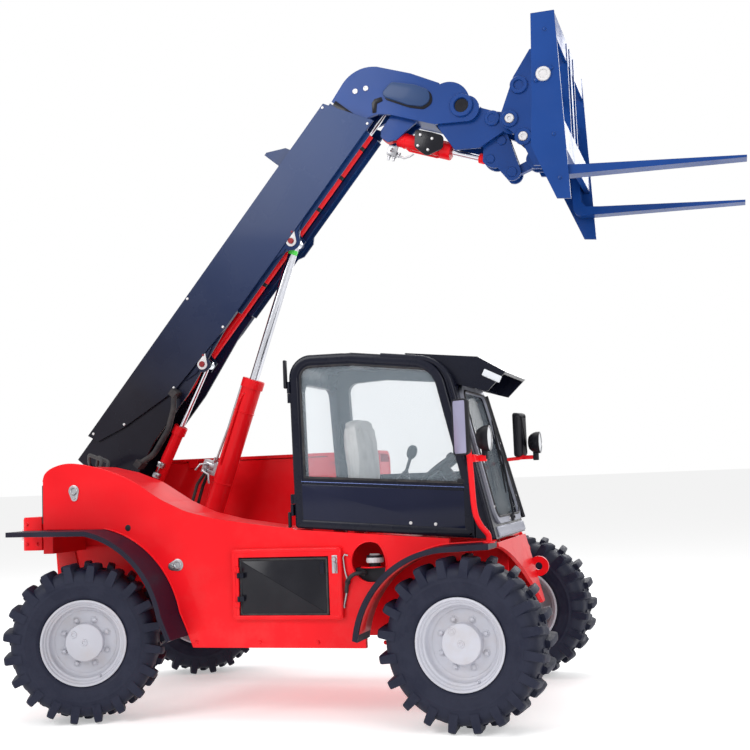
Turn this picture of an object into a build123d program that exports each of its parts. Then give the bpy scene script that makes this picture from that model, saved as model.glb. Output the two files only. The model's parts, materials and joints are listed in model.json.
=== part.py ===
from build123d import *
import math
import os

# Telehandler, in millimetres. +X is forward, +Y is its left, +Z is up.
# Stations along X are measured from a datum near the rear axle; at() and the planes
# below move them so that the origin is on the ground under the middle of the machine.

# ---- overall
fork_tip_x = 3550.0  # fork tips, boom as it stands
tail_x = -470.0  # rear face of the counterweight

# ---- wheels and axles
rear_axle_x = -32.0
front_axle_x = 2101.0
axle_z = 420.0
kingpin_y = 691.0
hub_offset = 90.0  # kingpin to the wheel's middle plane
tyre_r = 420.0
tyre_w = 302.0
carcass_r = 381.0
sidewall_r = 330.0  # where the sidewall is widest
lug_count = 20  # on each side of the tread
lug_outline = [(-24, -6), (12, -6), (34, tyre_w / 2), (-6, tyre_w / 2)]  # around the tread, across it
lug_flat = 1.4  # a lug's flat top lies this far under the tyre's radius, so that its corners reach it
lug_depth = 84.0
bead_r = 213.0
flange_r = 226.0
rim_w = 236.0
disc_r = 196.0
bolt_count, bolt_ring_r, bolt_r, bolt_h = 8, 122.0, 13.0, 14.0
hub_drum_r = 100.0
hub_drum_out = 100.0  # how far the drum's face stands out from the wheel's middle plane
disc_set = 35.0  # wheel disc outboard of the wheel's middle plane
disc_t = 14.0
beam_r = 68.0
diff_r = 150.0
ear_t = 24.0
saddle_z = 505.0
knuckle_half = 84.0
running_gap = 2.0
spindle_r = 76.0
kingpin_r = 22.0
front_steer = -4.7  # degrees, as it stands
rear_steer = 20.6

# ---- boom, along its own line from its pivot
boom_y = 300.0  # the boom's middle plane
boom_angle = 49.6
pivot_x, pivot_z = -360.0, 1190.0
pivot_pin_r = 36.0
boom_root_u = 10.0
boom_end = 2765.0
boom_half = 130.0
boom_wall = 12.0
boom_top = 345.0
boom_floor = 152.0  # underside of the closed box, above the open channel
cover_t = 18.0
inner_half = 100.0
inner_wall = 10.0
inner_gap = 9.0
inner_back = 500.0  # where the inner boom's hidden end lies
head_half = 112.0
head_t = 26.0
nose_half = 84.0
nose_t = 22.0
tower_gap = 8.0
tower_t = 22.0

# ---- cylinders: pivots as (x, z) at rest
lift_y = boom_y - 35.0  # the lifting and levelling cylinders lie right of the boom's middle
extend_y = boom_y + 44.0
lift_base = (112.0, 620.0)
lift_eye_uv = (1953.0, 32.0)
lift_barrel_r, lift_rod_r, lift_barrel_len = 62.0, 28.0, 1330.0
level_base = (-225.0, 1035.0)
level_eye_uv = (1010.0, 36.0)
level_barrel_r, level_rod_r, level_barrel_len = 36.0, 18.0, 640.0
extend_v = 88.0
extend_barrel_r, extend_rod_r = 30.0, 18.0
extend_base_u, extend_barrel_end, extend_eye_u = 720.0, 2755.0, 2935.0

# ---- head, tilt linkage and carriage: pivots as (x, z) at rest
carriage_pivot = (2270.0, 3274.0)
crank_pivot = (2156.0, 3310.0)
crank_eye = (2127.0, 3078.0)
crank_bar = (2200.0, 3180.0)
tilt_base = (1500.0, 3300.0)
tilt_barrel_r, tilt_rod_r, tilt_barrel_len = 44.0, 20.0, 410.0
link_from = (2251.0, 2986.0)  # link pins in the crank and in the carriage
link_to = (2390.0, 3040.0)
carriage_half = 600.0
plate_t = 16.0
pin_r = 26.0  # pins of the crank and the carriage
link_pin_r = 18.0
fork_w, fork_t = 100.0, 45.0
fork_under_z = 2800.0
shaft_r = 26.0
shaft_at = (2541.0, 3354.0)

# ---- body
panel_y = 720.0  # outer face of the side panels
panel_t = 30.0
fender_y = 930.0
fender_t = 26.0
sill_z = 375.0
deck_z = 900.0
cab_right, cab_left = -700.0, 120.0
cab_lean = 150.0  # how much the cab's left wall leans in over its height
cab_wall = 45.0
door_t, door_gap_y = 40.0, 5.0
glass_t = 6.0
glass_set = 8.0  # how far the panes lie behind the frames' faces
screen_frame_w, screen_frame_t = 34.0, 14.0
visor_y0, visor_y1, visor_t = -640.0, -60.0, 12.0
seat_y, seat_half = -300.0, 200.0
lever_y = -556.0
steering_r, wheel_rim_r = 126.0, 13.0
mirror_t, mirror_w = 44.0, 98.0
hose_r = 11.0
sleeve_y, sleeve_r = 112.0, 18.0
glass_rim = 58.0  # from the cab's outline to the door's glass
pillar_w = 44.0  # fixed pillar ahead of the door
door_front_x = 2138.0  # the door's lower front edge
belt = [(1150, 1250), (2300, 1171)]  # top of the door's lower panel
screen_top, screen_foot = (2034.0, 1819.0), (2247.0, 905.0)  # the windscreen's slope, seen from the side
cab_outline = [(1191, 987), (1178, 1886), (1521, 1882), screen_top, screen_foot]
cab_corners = [((1178, 1886), 120), (screen_top, 190), ((1191, 987), 20)]  # rounded corners and their radii
hood_y0, hood_y1 = 490.0, panel_y
hood_x0, hood_x1 = -250.0, 1300.0
hood_z = 1400.0
hood_t = 20.0
louvre_count, louvre_len = 5, 420.0
rail_y, rail_t = 340.0, 20.0
hump_y0, hump_y1, cover_plate_t = -panel_y + panel_t, -rail_y + rail_t / 2, 14.0
box_x0, box_x1, box_z0, box_z1 = 878.0, 1378.0, 537.0, 842.0  # the side box's doorway
tray_depth, lid_gap, lid_t = 150.0, 5.0, 14.0
panel_eyes = [(-104, 1223), (519, 809)]  # lashing eyes
door_hinge_x, door_hinge_y, hinge_r = 1177.0, -708.0, 7.0
hood_hinge_y, hood_hinge_z = 470.0, 1392.0
lid_hinge_x, lid_hinge_y = box_x0 + 2, -752.0
lug_y, lug_hole_r, lug_t = 100.0, 21.0, 24.0
fork_spread = carriage_half - plate_t - fork_w / 2 - 4  # boom's middle to a fork's middle


def boom_point(u, v):
    """Station and height of a point given along and across the boom."""
    c, s = math.cos(math.radians(boom_angle)), math.sin(math.radians(boom_angle))
    return (pivot_x + u * c - v * s, pivot_z + u * s + v * c)


centre_x = (boom_point(boom_root_u, boom_top)[0] + fork_tip_x) / 2


def at(x, y, z):
    """A location, its x a station from the datum."""
    return Location((x - centre_x, y, z))


def side(y, x=0.0, z=0.0):
    """Upright plane along the machine: local X forward, local Y up, facing right."""
    return Plane(origin=(x - centre_x, y, z), x_dir=(1, 0, 0), z_dir=(0, -1, 0))


def front(x):
    """Upright plane across the machine: local X to the left, local Y up, facing forward."""
    return Plane(origin=(x - centre_x, 0, 0), x_dir=(0, 1, 0), z_dir=(1, 0, 0))


def level(z):
    """Flat plane at a height, local X forward and local Y to the left."""
    return Plane(origin=(-centre_x, 0, z), x_dir=(1, 0, 0), z_dir=(0, 0, 1))


def along_boom(y, u=0.0, v=0.0):
    """Like side(), but with local X along the boom from its pivot and local Y across it."""
    c, s = math.cos(math.radians(boom_angle)), math.sin(math.radians(boom_angle))
    x, z = boom_point(u, v)
    return Plane(origin=(x - centre_x, y, z), x_dir=(c, 0, s), z_dir=(0, -1, 0))


def line_plane(start, end, y):
    """Plane across a cylinder at its base pivot, its normal towards the rod's eye."""
    dx, dz = end[0] - start[0], end[1] - start[1]
    n = math.hypot(dx, dz)
    return Plane(origin=(start[0] - centre_x, y, start[1]), x_dir=(0, 1, 0), z_dir=(dx / n, 0, dz / n))


def span(start, end):
    return math.hypot(end[0] - start[0], end[1] - start[1])


def save(made, name):
    made.part.label = name
    export_step(made.part, f"parts/{name}.step")


os.makedirs("parts", exist_ok=True)
lift_eye = boom_point(*lift_eye_uv)
level_eye = boom_point(*level_eye_uv)

# ======== tyre, its axis along local Y
def around(y, out=1):
    """Plane across the wheel's axis."""
    return Plane(origin=(0, y, 0), x_dir=(1, 0, 0), z_dir=(0, out, 0))


with BuildPart(mode=Mode.PRIVATE) as tyre_blank:
    half = tyre_w / 2
    flank = [(sidewall_r, half - 4), (carcass_r, half - 46)]
    rings = [(r, -y) for r, y in flank] + list(reversed(flank))
    for low, high in zip(rings, rings[1:]):
        for r, y in (low, high):
            with BuildSketch(around(y)):
                RegularPolygon(r, lug_count, major_radius=False)
        loft(ruled=True)
    # the bead, flared to clear the rim's flanges, then the sidewall's dish
    bead_rings = [(bead_r, rim_w / 2 - 18), (bead_r + 30, rim_w / 2 + 11), (sidewall_r - 2, half - 4)]
    for hand in (-1, 1):
        for low, high in zip(bead_rings, bead_rings[1:]):
            for r, y in (low, high):
                with BuildSketch(around(hand * y, hand)):
                    RegularPolygon(r, lug_count, major_radius=False)
            loft(ruled=True, mode=Mode.SUBTRACT)
    with BuildSketch(around(0)):
        RegularPolygon(bead_r, lug_count, major_radius=False)
    extrude(amount=rim_w / 2, both=True, mode=Mode.SUBTRACT)
    for k in range(2 * lug_count):
        hand = 1 if k % 2 else -1
        turn = 180 / lug_count * k
        ray = Vector(math.cos(math.radians(turn)), 0, math.sin(math.radians(turn)))
        tangent = Vector(-ray.Z, 0, ray.X)
        with BuildSketch(Plane(origin=ray * (tyre_r - lug_flat), x_dir=tangent, z_dir=ray)):
            Polygon(*[(x, hand * y) for x, y in lug_outline], align=None)
        extrude(amount=-lug_depth)
tyre_form = tyre_blank.part

# ======== wheels, one row per corner: name, axle station, side (+1 left), steer angle
corners = [
    ("front_right", front_axle_x, -1, front_steer),
    ("front_left", front_axle_x, 1, front_steer),
    ("rear_right", rear_axle_x, -1, rear_steer),
    ("rear_left", rear_axle_x, 1, rear_steer),
]
for corner, axle_x, hand, steer in corners:
    turn = math.radians(steer)
    out = (-hand * math.sin(turn), hand * math.cos(turn), 0)
    kingpin = (axle_x - centre_x, hand * kingpin_y, axle_z)
    # local X is up from the kingpin at axle height, local Y is outboard along the wheel's axis
    spin = Plane(origin=kingpin, x_dir=(0, 0, 1), z_dir=(-out[1], out[0], 0))
    wheel_axis = Axis(kingpin, out)
    mid = hub_offset

    place = Location(Plane(origin=spin.origin + Vector(*out) * mid, x_dir=(0, 0, 1), z_dir=spin.z_dir))
    with BuildPart() as tyre:
        add(place * tyre_form if hand > 0 else place * tyre_form.rotate(Axis.X, 180))
    save(tyre, f"tyre_{corner}")

    with BuildPart() as rim:
        with BuildSketch(spin):
            # barrel with a flange at each edge, then the disc and hub drum
            Polygon(
                (bead_r - 0.3, mid - rim_w / 2 + 14.3),
                (bead_r - 0.3, mid + rim_w / 2 - 14.3),
                (flange_r, mid + rim_w / 2 + 1),
                (flange_r, mid + rim_w / 2 + 11),
                (bead_r - 12, mid + rim_w / 2 - 4),
                (disc_r - 10, mid + disc_set + 60),
                (disc_r - 10, mid - rim_w / 2 + 60),
                (bead_r - 12, mid - rim_w / 2 + 4),
                (flange_r, mid - rim_w / 2 - 11),
                (flange_r, mid - rim_w / 2 - 1),
                align=None,
            )
            Polygon(
                (0, mid + disc_set),
                (disc_r, mid + disc_set),
                (disc_r, mid + disc_set + disc_t),
                (hub_drum_r, mid + disc_set + disc_t),
                (hub_drum_r - 4, mid + hub_drum_out),
                (0, mid + hub_drum_out),
                align=None,
            )
        revolve(axis=wheel_axis)
        disc_face = spin.origin + Vector(*out) * (mid + disc_set + disc_t)
        with BuildSketch(Plane(origin=disc_face, x_dir=(0, 0, 1), z_dir=out)):
            with PolarLocations(bolt_ring_r, bolt_count):
                RegularPolygon(bolt_r, 6)
        extrude(amount=bolt_h)
    save(rim, f"rim_{corner}")

    with BuildPart() as knuckle:
        with Locations(Location(kingpin)):
            Cylinder(58, 2 * knuckle_half)
        with BuildSketch(spin.offset(0)):
            Polygon(
                (0, 0), (spindle_r, 30), (spindle_r, mid + disc_set - running_gap), (0, mid + disc_set - running_gap),
                align=None,
            )
        revolve(axis=wheel_axis)
        with Locations(Location(kingpin)):
            Cylinder(kingpin_r + 0.5, 2 * knuckle_half + 2, mode=Mode.SUBTRACT)
    save(knuckle, f"knuckle_{corner}")

for name, axle_x in (("front_axle", front_axle_x), ("rear_axle", rear_axle_x)):
    ear_z = knuckle_half + running_gap
    with BuildPart() as axle:
        with Locations(at(axle_x, 0, axle_z) * Rotation(90, 0, 0)):
            Cylinder(beam_r, 2 * (kingpin_y - 110))
        with Locations(at(axle_x, 0, axle_z)):
            Sphere(diff_r)
        for hand in (-1, 1):
            with Locations(at(axle_x, hand * 262, (saddle_z + axle_z) / 2)):
                Box(110, 130, saddle_z - axle_z)
        for hand in (-1, 1):
            with Locations(at(axle_x, hand * (kingpin_y - 95), axle_z)):
                Box(110, 40, 2 * (ear_z + ear_t))
            with Locations(at(axle_x, hand * kingpin_y, axle_z)):
                Cylinder(kingpin_r, 2 * (ear_z + ear_t))
            for up in (-1, 1):
                with BuildSketch(level(axle_z + up * (ear_z + ear_t / 2))):
                    with Locations((axle_x, hand * (kingpin_y - 35))):
                        SlotCenterToCenter(90, 100, rotation=90)
                extrude(amount=ear_t / 2, both=True)
    save(axle, name)

# ======== chassis
with BuildPart() as chassis_frame:
    rail = [
        (-400, 560), (-400, deck_z), (front_axle_x + 79, deck_z), (front_axle_x + 129, 800),
        (front_axle_x + 129, 560), (front_axle_x - 221, 560),
        (1700, sill_z + 15), (500, sill_z + 15), (240, 560),
    ]
    for hand in (-1, 1):
        with BuildSketch(side(hand * rail_y)):
            Polygon(*rail, align=None)
        extrude(amount=rail_t / 2, both=True)
    # belly, deck and cross plates: x from, x to, z from, z to
    for x0, x1, z0, z1 in (
        (500, 1700, sill_z + 15, sill_z + 30),
        (-400, -100, deck_z - 20, deck_z),
        (1200, front_axle_x + 79, deck_z - 20, deck_z),
        (-400, -380, 560, deck_z),
        (440, 460, 560, 660),
        (1740, 1760, 560, deck_z),
    ):
        with Locations(at((x0 + x1) / 2, 0, (z0 + z1) / 2)):
            Box(x1 - x0, 2 * rail_y, z1 - z0)
    # axle saddles
    for axle_x in (rear_axle_x, front_axle_x):
        for hand in (-1, 1):
            with Locations(at(axle_x, hand * 262, (saddle_z + deck_z) / 2)):
                Box(120, 136, deck_z - saddle_z)
    # outriggers that carry the side panels: x, z from, z to
    for x, z0, z1 in ((620, 590, 650), (1490, 590, 650), (-290, 880, 1060), (1830, 860, 920)):
        for hand in (-1, 1):
            with Locations(at(x, hand * (rail_y + panel_y - panel_t) / 2, (z0 + z1) / 2)):
                Box(60, panel_y - panel_t - rail_y, z1 - z0)
    # boom towers with their pin
    tower_in = boom_half + tower_gap
    for hand in (-1, 1):
        with BuildSketch(side(boom_y + hand * (tower_in + tower_t / 2))):
            with BuildLine():
                a = Polyline((-318, deck_z - 20), (-318, 1092), (-425, 1115))
                b = ThreePointArc(a @ 1, (-385, 1295), (-240, 1215))
                Polyline(b @ 1, (60, 960), (60, deck_z - 20), a @ 0)
            make_face()
        extrude(amount=tower_t / 2, both=True)
    with Locations(at(-129, boom_y, deck_z - 10)):
        Box(378, 2 * (tower_in + tower_t), 20)
    with Locations(at(pivot_x, boom_y, pivot_z) * Rotation(90, 0, 0)):
        Cylinder(pivot_pin_r, 2 * (tower_in + tower_t + 12))
    # brackets of the lifting and levelling cylinders: pin, radius, height of the foot
    for pin, r, foot_z in ((lift_base, 48, 568), (level_base, 44, 955)):
        for hand in (-1, 1):
            with BuildSketch(side(lift_y + hand * 46)):
                with Locations(pin):
                    Circle(r)
                with Locations((pin[0], (pin[1] + foot_z) / 2)):
                    Rectangle(2 * r, pin[1] - foot_z)
            extrude(amount=8, both=True)
        with BuildSketch(side(lift_y)):
            with Locations(pin):
                Circle(22)
        extrude(amount=58, both=True)
    with Locations(at(lift_base[0], 245, 568)):
        Box(150, 190, 16)
    with Locations(at(level_base[0], boom_y, 955)):
        Box(110, 2 * tower_in, 16)
    # cab pads: x, top
    for x, pad_z in ((1300, 976), (2100, 914)):
        for y in (-300, 60):
            with Locations(at(x, y, (deck_z + pad_z) / 2)):
                Box(60, 60, pad_z - deck_z)
save(chassis_frame, "chassis_frame")

with BuildPart() as front_plate:
    # apron under the windscreen, sloped forward at its foot, and the plate with the towing eye
    slope = Plane(
        origin=(2252 - centre_x, 0, 890),
        x_dir=(0, 1, 0),
        z_dir=(math.cos(math.radians(14)), 0, math.sin(math.radians(14))),
    )
    with BuildSketch(slope):
        with BuildLine():
            top = Polyline((88, -380), (88, 0), (cab_right, 0), (cab_right, -20))
            ThreePointArc(top @ 1, (-330, -130), (20, -380))
            Line((20, -380), (88, -380))
        make_face()
    extrude(amount=-20)
    with BuildSketch(side(lug_y)):
        Polygon((2234, 880), (1990, 880), (1990, 600), (2230, 510), (2330, 510), (2300, 640), (2262, 760), align=None)
        with Locations((2317, 709)):
            Circle(55)
        with Locations((2317, 709)):
            Circle(lug_hole_r, mode=Mode.SUBTRACT)
    extrude(amount=lug_t / 2, both=True)
save(front_plate, "front_plate")

with BuildPart() as counterweight:
    with BuildSketch(side(0)):
        Polygon(
            (tail_x, deck_z), (tail_x, 1060), (tail_x + 25, 1085), (-330, 1085), (-330, deck_z),
            align=None,
        )
    extrude(amount=panel_y - panel_t, both=True)
    with BuildSketch(side(0)):
        Polygon((tail_x, deck_z), (tail_x + 20, 620), (-404, 620), (-404, deck_z), align=None)
    extrude(amount=rail_y - 10, both=True)
    # rear corners rounded, seen from above
    with BuildSketch(level(600)):
        with Locations((tail_x + 200, 0)):
            RectangleRounded(400, 2 * (panel_y - panel_t), 50)
    extrude(amount=500, mode=Mode.INTERSECT)
save(counterweight, "counterweight")

with BuildPart() as rear_lights:
    for hand in (-1, 1):
        with BuildSketch(front(tail_x)):
            with Locations((hand * 560, 985)):
                RectangleRounded(150, 66, 12)
        extrude(amount=-30)
save(rear_lights, "rear_lights")

# ======== side panels: hump at the back on the right, lower on the left under the hood
panel_top = {
    "right": [(-300, 1285), (-285, 1325), (-240, 1355), (-158, 1374), (-60, 1367), (91, 1331), (243, 1271),
              (421, 1160), (568, 1092), (742, 1048), (998, 1008), (1180, 986), (1192, 979), (2010, 915)],
    "left": [(-300, 1044), (1310, 1044), (2010, 935)],
}
for name, hand in (("right", -1), ("left", 1)):
    with BuildPart() as side_panel:
        with BuildSketch(side(hand * (panel_y - panel_t / 2))):
            with BuildLine():
                edge = Polyline((-300, 1015), *panel_top[name])
                end_x = panel_top[name][-1][0]
                nose = Line(edge @ 1, (end_x, 885))
                lip = ThreePointArc(nose @ 1, (front_axle_x - 391, 752), (front_axle_x - 545, sill_z))
                sill = Line(lip @ 1, (rear_axle_x + 629, sill_z))
                rise = Line(sill @ 1, (rear_axle_x + 552, 560))
                arch = ThreePointArc(rise @ 1, (rear_axle_x + 386, 865), (rear_axle_x + 112, 1008))
                Line(arch @ 1, edge @ 0)
            make_face()
            if name == "right":
                with BuildLine():
                    ThreePointArc((1505, 760), (1560, 905), (1640, 900))
                    ThreePointArc((1640, 900), (1680, 800), (1660, 715))
                    ThreePointArc((1660, 715), (1570, 705), (1505, 760))
                make_face(mode=Mode.SUBTRACT)
                with Locations(((box_x0 + box_x1) / 2, (box_z0 + box_z1) / 2)):
                    Rectangle(box_x1 - box_x0, box_z1 - box_z0, mode=Mode.SUBTRACT)
                with Locations(*panel_eyes):
                    Circle(14, mode=Mode.SUBTRACT)
        extrude(amount=panel_t / 2, both=True)
    save(side_panel, f"side_panel_{name}")

# ======== fenders: flares that stand out from the panels over each wheel
with BuildPart() as fenders:
    for hand in (-1, 1):
        reach = (fender_y + panel_y) / 2
        with BuildSketch(side(hand * reach)):
            with BuildLine():
                brow = Line((-400, 1013), (rear_axle_x + 112, 1008))
                bend = ThreePointArc(brow @ 1, (rear_axle_x + 386, 865), (rear_axle_x + 552, 560))
                skirt = Polyline(
                    bend @ 1, (rear_axle_x + 604, 440), (rear_axle_x + 604 - fender_t, 432),
                    (rear_axle_x + 552 - fender_t, 552),
                )
                inside = ThreePointArc(
                    skirt @ 1, (rear_axle_x + 386 - 18, 865 - 20), (rear_axle_x + 108, 1008 - fender_t)
                )
                Polyline(inside @ 1, (-400, 1013 - fender_t), brow @ 0)
            make_face()
        extrude(amount=(fender_y - panel_y) / 2, both=True)
        nose_x = front_axle_x + (149 if hand < 0 else -31)
        with BuildSketch(side(hand * reach)):
            with BuildLine():
                foot = Line((front_axle_x - 549, 440), (front_axle_x - 549 + fender_t, 432))
                inside = ThreePointArc(
                    foot @ 1, (front_axle_x - 373, 733), (front_axle_x - 91, 885 - fender_t)
                )
                nose = Polyline(
                    inside @ 1, (nose_x, 896 - fender_t), (nose_x, 896), (front_axle_x - 91, 885)
                )
                ThreePointArc(nose @ 1, (front_axle_x - 391, 752), foot @ 0)
            make_face()
        extrude(amount=(fender_y - panel_y) / 2, both=True)
save(fenders, "fenders")

with BuildPart() as hump_cover:
    hump = [(-278, 1290), (-240, 1340), (-158, 1358), (-60, 1351), (91, 1315), (243, 1255), (421, 1144),
            (568, 1076), (742, 1032), (998, 992), (1150, 972)]
    under = [(x, z - cover_plate_t) for x, z in hump]
    with BuildSketch(side((hump_y0 + hump_y1) / 2)):
        Polygon(*hump, *reversed(under), align=None)
    extrude(amount=(hump_y1 - hump_y0) / 2, both=True)
    with BuildSketch(side(hump_y1 - cover_plate_t / 2)):
        Polygon(*hump, (1150, deck_z), (-258, deck_z), (-258, 1062), (-278, 1062), align=None)
    extrude(amount=cover_plate_t / 2, both=True)
    with Locations(at(-271, (hump_y0 + hump_y1) / 2, (1060 + 1285) / 2)):
        Box(14, hump_y1 - hump_y0, 1285 - 1060)
save(hump_cover, "hump_cover")

box_mid = ((box_x0 + box_x1) / 2, (box_z0 + box_z1) / 2)
box_size = (box_x1 - box_x0, box_z1 - box_z0)
with BuildPart() as side_box:
    # raised frame on the panel, then the tray behind it
    with BuildSketch(side(-panel_y)):
        with Locations(((840 + 1448) / 2, (522 + 887) / 2)):
            RectangleRounded(608, 365, 14)
        with Locations(box_mid):
            Rectangle(*box_size, mode=Mode.SUBTRACT)
    extrude(amount=24)
    with BuildSketch(side(-panel_y + panel_t)):
        with Locations(box_mid):
            Rectangle(box_size[0] + 16, box_size[1] + 16)
            Rectangle(*box_size, mode=Mode.SUBTRACT)
    extrude(amount=-tray_depth)
    with BuildSketch(side(-panel_y + panel_t + tray_depth)):
        with Locations(box_mid):
            Rectangle(box_size[0] + 16, box_size[1] + 16)
    extrude(amount=-8)
    for z in (box_mid[1] - 90, box_mid[1] + 90):
        with Locations(at(lid_hinge_x, lid_hinge_y, z)):
            Cylinder(hinge_r, 26)
        with Locations(at(lid_hinge_x - 12, -panel_y - 27, z)):
            Box(24, 10, 26)
save(side_box, "side_box")

with BuildPart() as side_box_lid:
    with BuildSketch(side(-panel_y - 4)):
        with Locations(box_mid):
            Rectangle(box_size[0] - 2 * lid_gap, box_size[1] - 2 * lid_gap)
    extrude(amount=lid_t)
    # latch, then the hinge knuckles on their leaves
    with BuildSketch(side(-panel_y - 4 - lid_t)):
        with Locations((box_x1 - 34, box_z1 - 60)):
            SlotCenterToCenter(44, 22, rotation=90)
    extrude(amount=10)
    for z in (box_mid[1] - 60, box_mid[1] + 60):
        with Locations(at(lid_hinge_x, lid_hinge_y, z)):
            Cylinder(hinge_r, 26)
        with Locations(at(lid_hinge_x + 16, lid_hinge_y + 10, z)):
            Box(28, 22, 26)
save(side_box_lid, "side_box_lid")

with BuildPart() as fuel_filler:
    # bowl behind the panel's opening, neck and cap
    with Locations(at(1590, -panel_y + panel_t + 50, 740)):
        Box(170, 100, 70)
    for r, z0, z1 in ((30, 775, 800), (42, 800, 836)):
        with BuildSketch(level(z0)):
            with Locations((1596, -panel_y + panel_t + 48)):
                Circle(r)
        extrude(amount=z1 - z0)
save(fuel_filler, "fuel_filler")

# ======== engine bay on the left
with BuildPart() as engine_bay:
    bay_top = hood_z - 25
    with Locations(at((hood_x0 + hood_x1) / 2, hood_y0 + hood_t / 2, (deck_z + bay_top) / 2)):
        Box(hood_x1 - hood_x0, hood_t, bay_top - deck_z)
    # knuckles of the hood's hinge, on leaves from the wall
    for x in (hood_x0 + 300, hood_x1 - 300):
        with Locations(at(x, hood_hinge_y, hood_hinge_z) * Rotation(0, 90, 0)):
            Cylinder(hinge_r + 1, 60)
        with Locations(at(x, hood_hinge_y - 1.5, hood_hinge_z - 22)):
            Box(60, 13, 44)
        with Locations(at(x, hood_hinge_y + 7, hood_hinge_z - 36)):
            Box(60, 30, 30)
    for x in (hood_x0 + 10, hood_x1 - 10):
        with Locations(at(x, (hood_y0 + hood_y1 - panel_t) / 2, (1060 + 1330) / 2)):
            Box(20, hood_y1 - panel_t - hood_y0, 1330 - 1060)
    # the engine, seen as a block behind the wall
    with Locations(at(900, hood_y0 + hood_t + 45, 800)):
        Box(700, 90, 300)
save(engine_bay, "engine_bay")

with BuildPart() as engine_hood:
    with BuildSketch(front(hood_x0)):
        with BuildLine():
            outside = Polyline((hood_y0 - 10, hood_z), (hood_y1 - 70, hood_z))
            brow = ThreePointArc(outside @ 1, (hood_y1 - 20, hood_z - 20), (hood_y1, hood_z - 70))
            wall = Polyline(brow @ 1, (hood_y1, 1050), (hood_y1 - hood_t, 1050), (hood_y1 - hood_t, hood_z - 74))
            under = ThreePointArc(wall @ 1, (hood_y1 - 34, hood_z - 34), (hood_y1 - 74, hood_z - hood_t))
            Polyline(under @ 1, (hood_y0 - 10, hood_z - hood_t), outside @ 0)
        make_face()
    extrude(amount=hood_x1 - hood_x0)
    # cooling slots in the side wall
    with BuildSketch(side(hood_y1)):
        with GridLocations(0, 34, 1, louvre_count):
            with Locations(((hood_x0 + hood_x1) / 2, 1180)):
                SlotOverall(louvre_len, 14)
    extrude(amount=hood_t, mode=Mode.SUBTRACT)
    # knuckles of its hinge
    for x in (hood_x0 + 235, hood_x1 - 235):
        with Locations(at(x, hood_hinge_y, hood_hinge_z) * Rotation(0, 90, 0)):
            Cylinder(hinge_r + 1, 60)
        with Locations(at(x, hood_hinge_y + 7, hood_z - hood_t / 2)):
            Box(60, 14, hood_t)
save(engine_hood, "engine_hood")

# ======== boom
with BuildPart() as boom_outer:
    # hollow box, then the two side skirts that carry it on the pivot
    for sign, gap, mode in ((1, 0, Mode.ADD), (-1, boom_wall, Mode.SUBTRACT)):
        with BuildSketch(along_boom(boom_y)):
            Polygon(
                (boom_root_u + (60 if gap else 0), boom_floor + gap), (boom_end + gap, boom_floor + gap),
                (boom_end + gap, boom_top - gap), (boom_root_u + (60 if gap else 0), boom_top - gap),
                align=None,
            )
        extrude(amount=boom_half - gap, both=True, mode=mode)
    for hand in (-1, 1):
        with BuildSketch(along_boom(boom_y + hand * (boom_half - boom_wall / 2))):
            with BuildLine():
                a = ThreePointArc((-60, 55), (-70, -40), (20, -80))
                Polyline(
                    a @ 1, (430, -10), (800, -10), (1270, 42), (lift_eye_uv[0] - 120, 42),
                    (lift_eye_uv[0] - 50, lift_eye_uv[1] - 34), (lift_eye_uv[0] + 50, lift_eye_uv[1] - 34),
                    (lift_eye_uv[0] + 120, 42), (boom_end, 42), (boom_end, boom_top),
                    (boom_root_u, boom_top), (boom_root_u, 230), a @ 0,
                )
            make_face()
            Circle(pivot_pin_r + 0.5, mode=Mode.SUBTRACT)
        extrude(amount=boom_wall / 2, both=True)
        # pivot boss
        with BuildSketch(along_boom(boom_y + hand * (boom_half - boom_wall - 12))):
            Circle(66)
            Circle(pivot_pin_r + 0.5, mode=Mode.SUBTRACT)
        extrude(amount=12, both=True)
        # rails under the open channel
        with BuildSketch(along_boom(boom_y + hand * (boom_half - 30))):
            Polygon((1400, 36), (2760, 36), (2760, 62), (1400, 62), align=None)
        extrude(amount=20, both=True)
    # lugs under the floor, each with a stub of its pin outside: pin, y, lug's half length at the
    # floor and at its foot, lug's foot below the pin, first and last distance from y, pin radius
    for (u, v), y, half_top, half_foot, drop, lug_in, lug_out, stub, r in (
        (lift_eye_uv, lift_y, 75, 40, 34, 30, 40, 95, 20),
        (level_eye_uv, lift_y, 70, 34, 32, 30, 40, 52, 16),
        ((extend_base_u, extend_v), extend_y, 45, 30, 34, 32, 44, 50, 12),
    ):
        for hand in (-1, 1):
            with BuildSketch(along_boom(y + hand * (lug_in + lug_out) / 2)):
                Polygon(
                    (u - half_top, boom_floor + 2), (u + half_top, boom_floor + 2), (u + half_foot, v - drop),
                    (u - half_foot, v - drop),
                    align=None,
                )
            extrude(amount=(lug_out - lug_in) / 2, both=True)
            with BuildSketch(along_boom(y + hand * (lug_in + stub) / 2)):
                with Locations((u, v)):
                    Circle(r)
            extrude(amount=(stub - lug_in) / 2, both=True)
    with BuildSketch(along_boom(extend_y)):
        with Locations((extend_base_u, extend_v)):
            Circle(12)
    extrude(amount=32, both=True)
    # lug on top, for the service prop
    with BuildSketch(along_boom(boom_y)):
        Polygon((2270, boom_top - 2), (2410, boom_top - 2), (2385, 450), (2290, 540), (2270, 540), align=None)
    extrude(amount=60, both=True)
save(boom_outer, "boom_outer")

cover_outline = [
    (177, 375), (2737, 375), (2831, 42), (1270, 40), (765, 71), (374, 207), (195, 295),
]
with BuildPart() as boom_covers:
    for hand in (-1, 1):
        with BuildSketch(along_boom(boom_y + hand * (boom_half + cover_t / 2))):
            Polygon(*cover_outline, align=None)
        extrude(amount=cover_t / 2, both=True)
save(boom_covers, "boom_covers")

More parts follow.
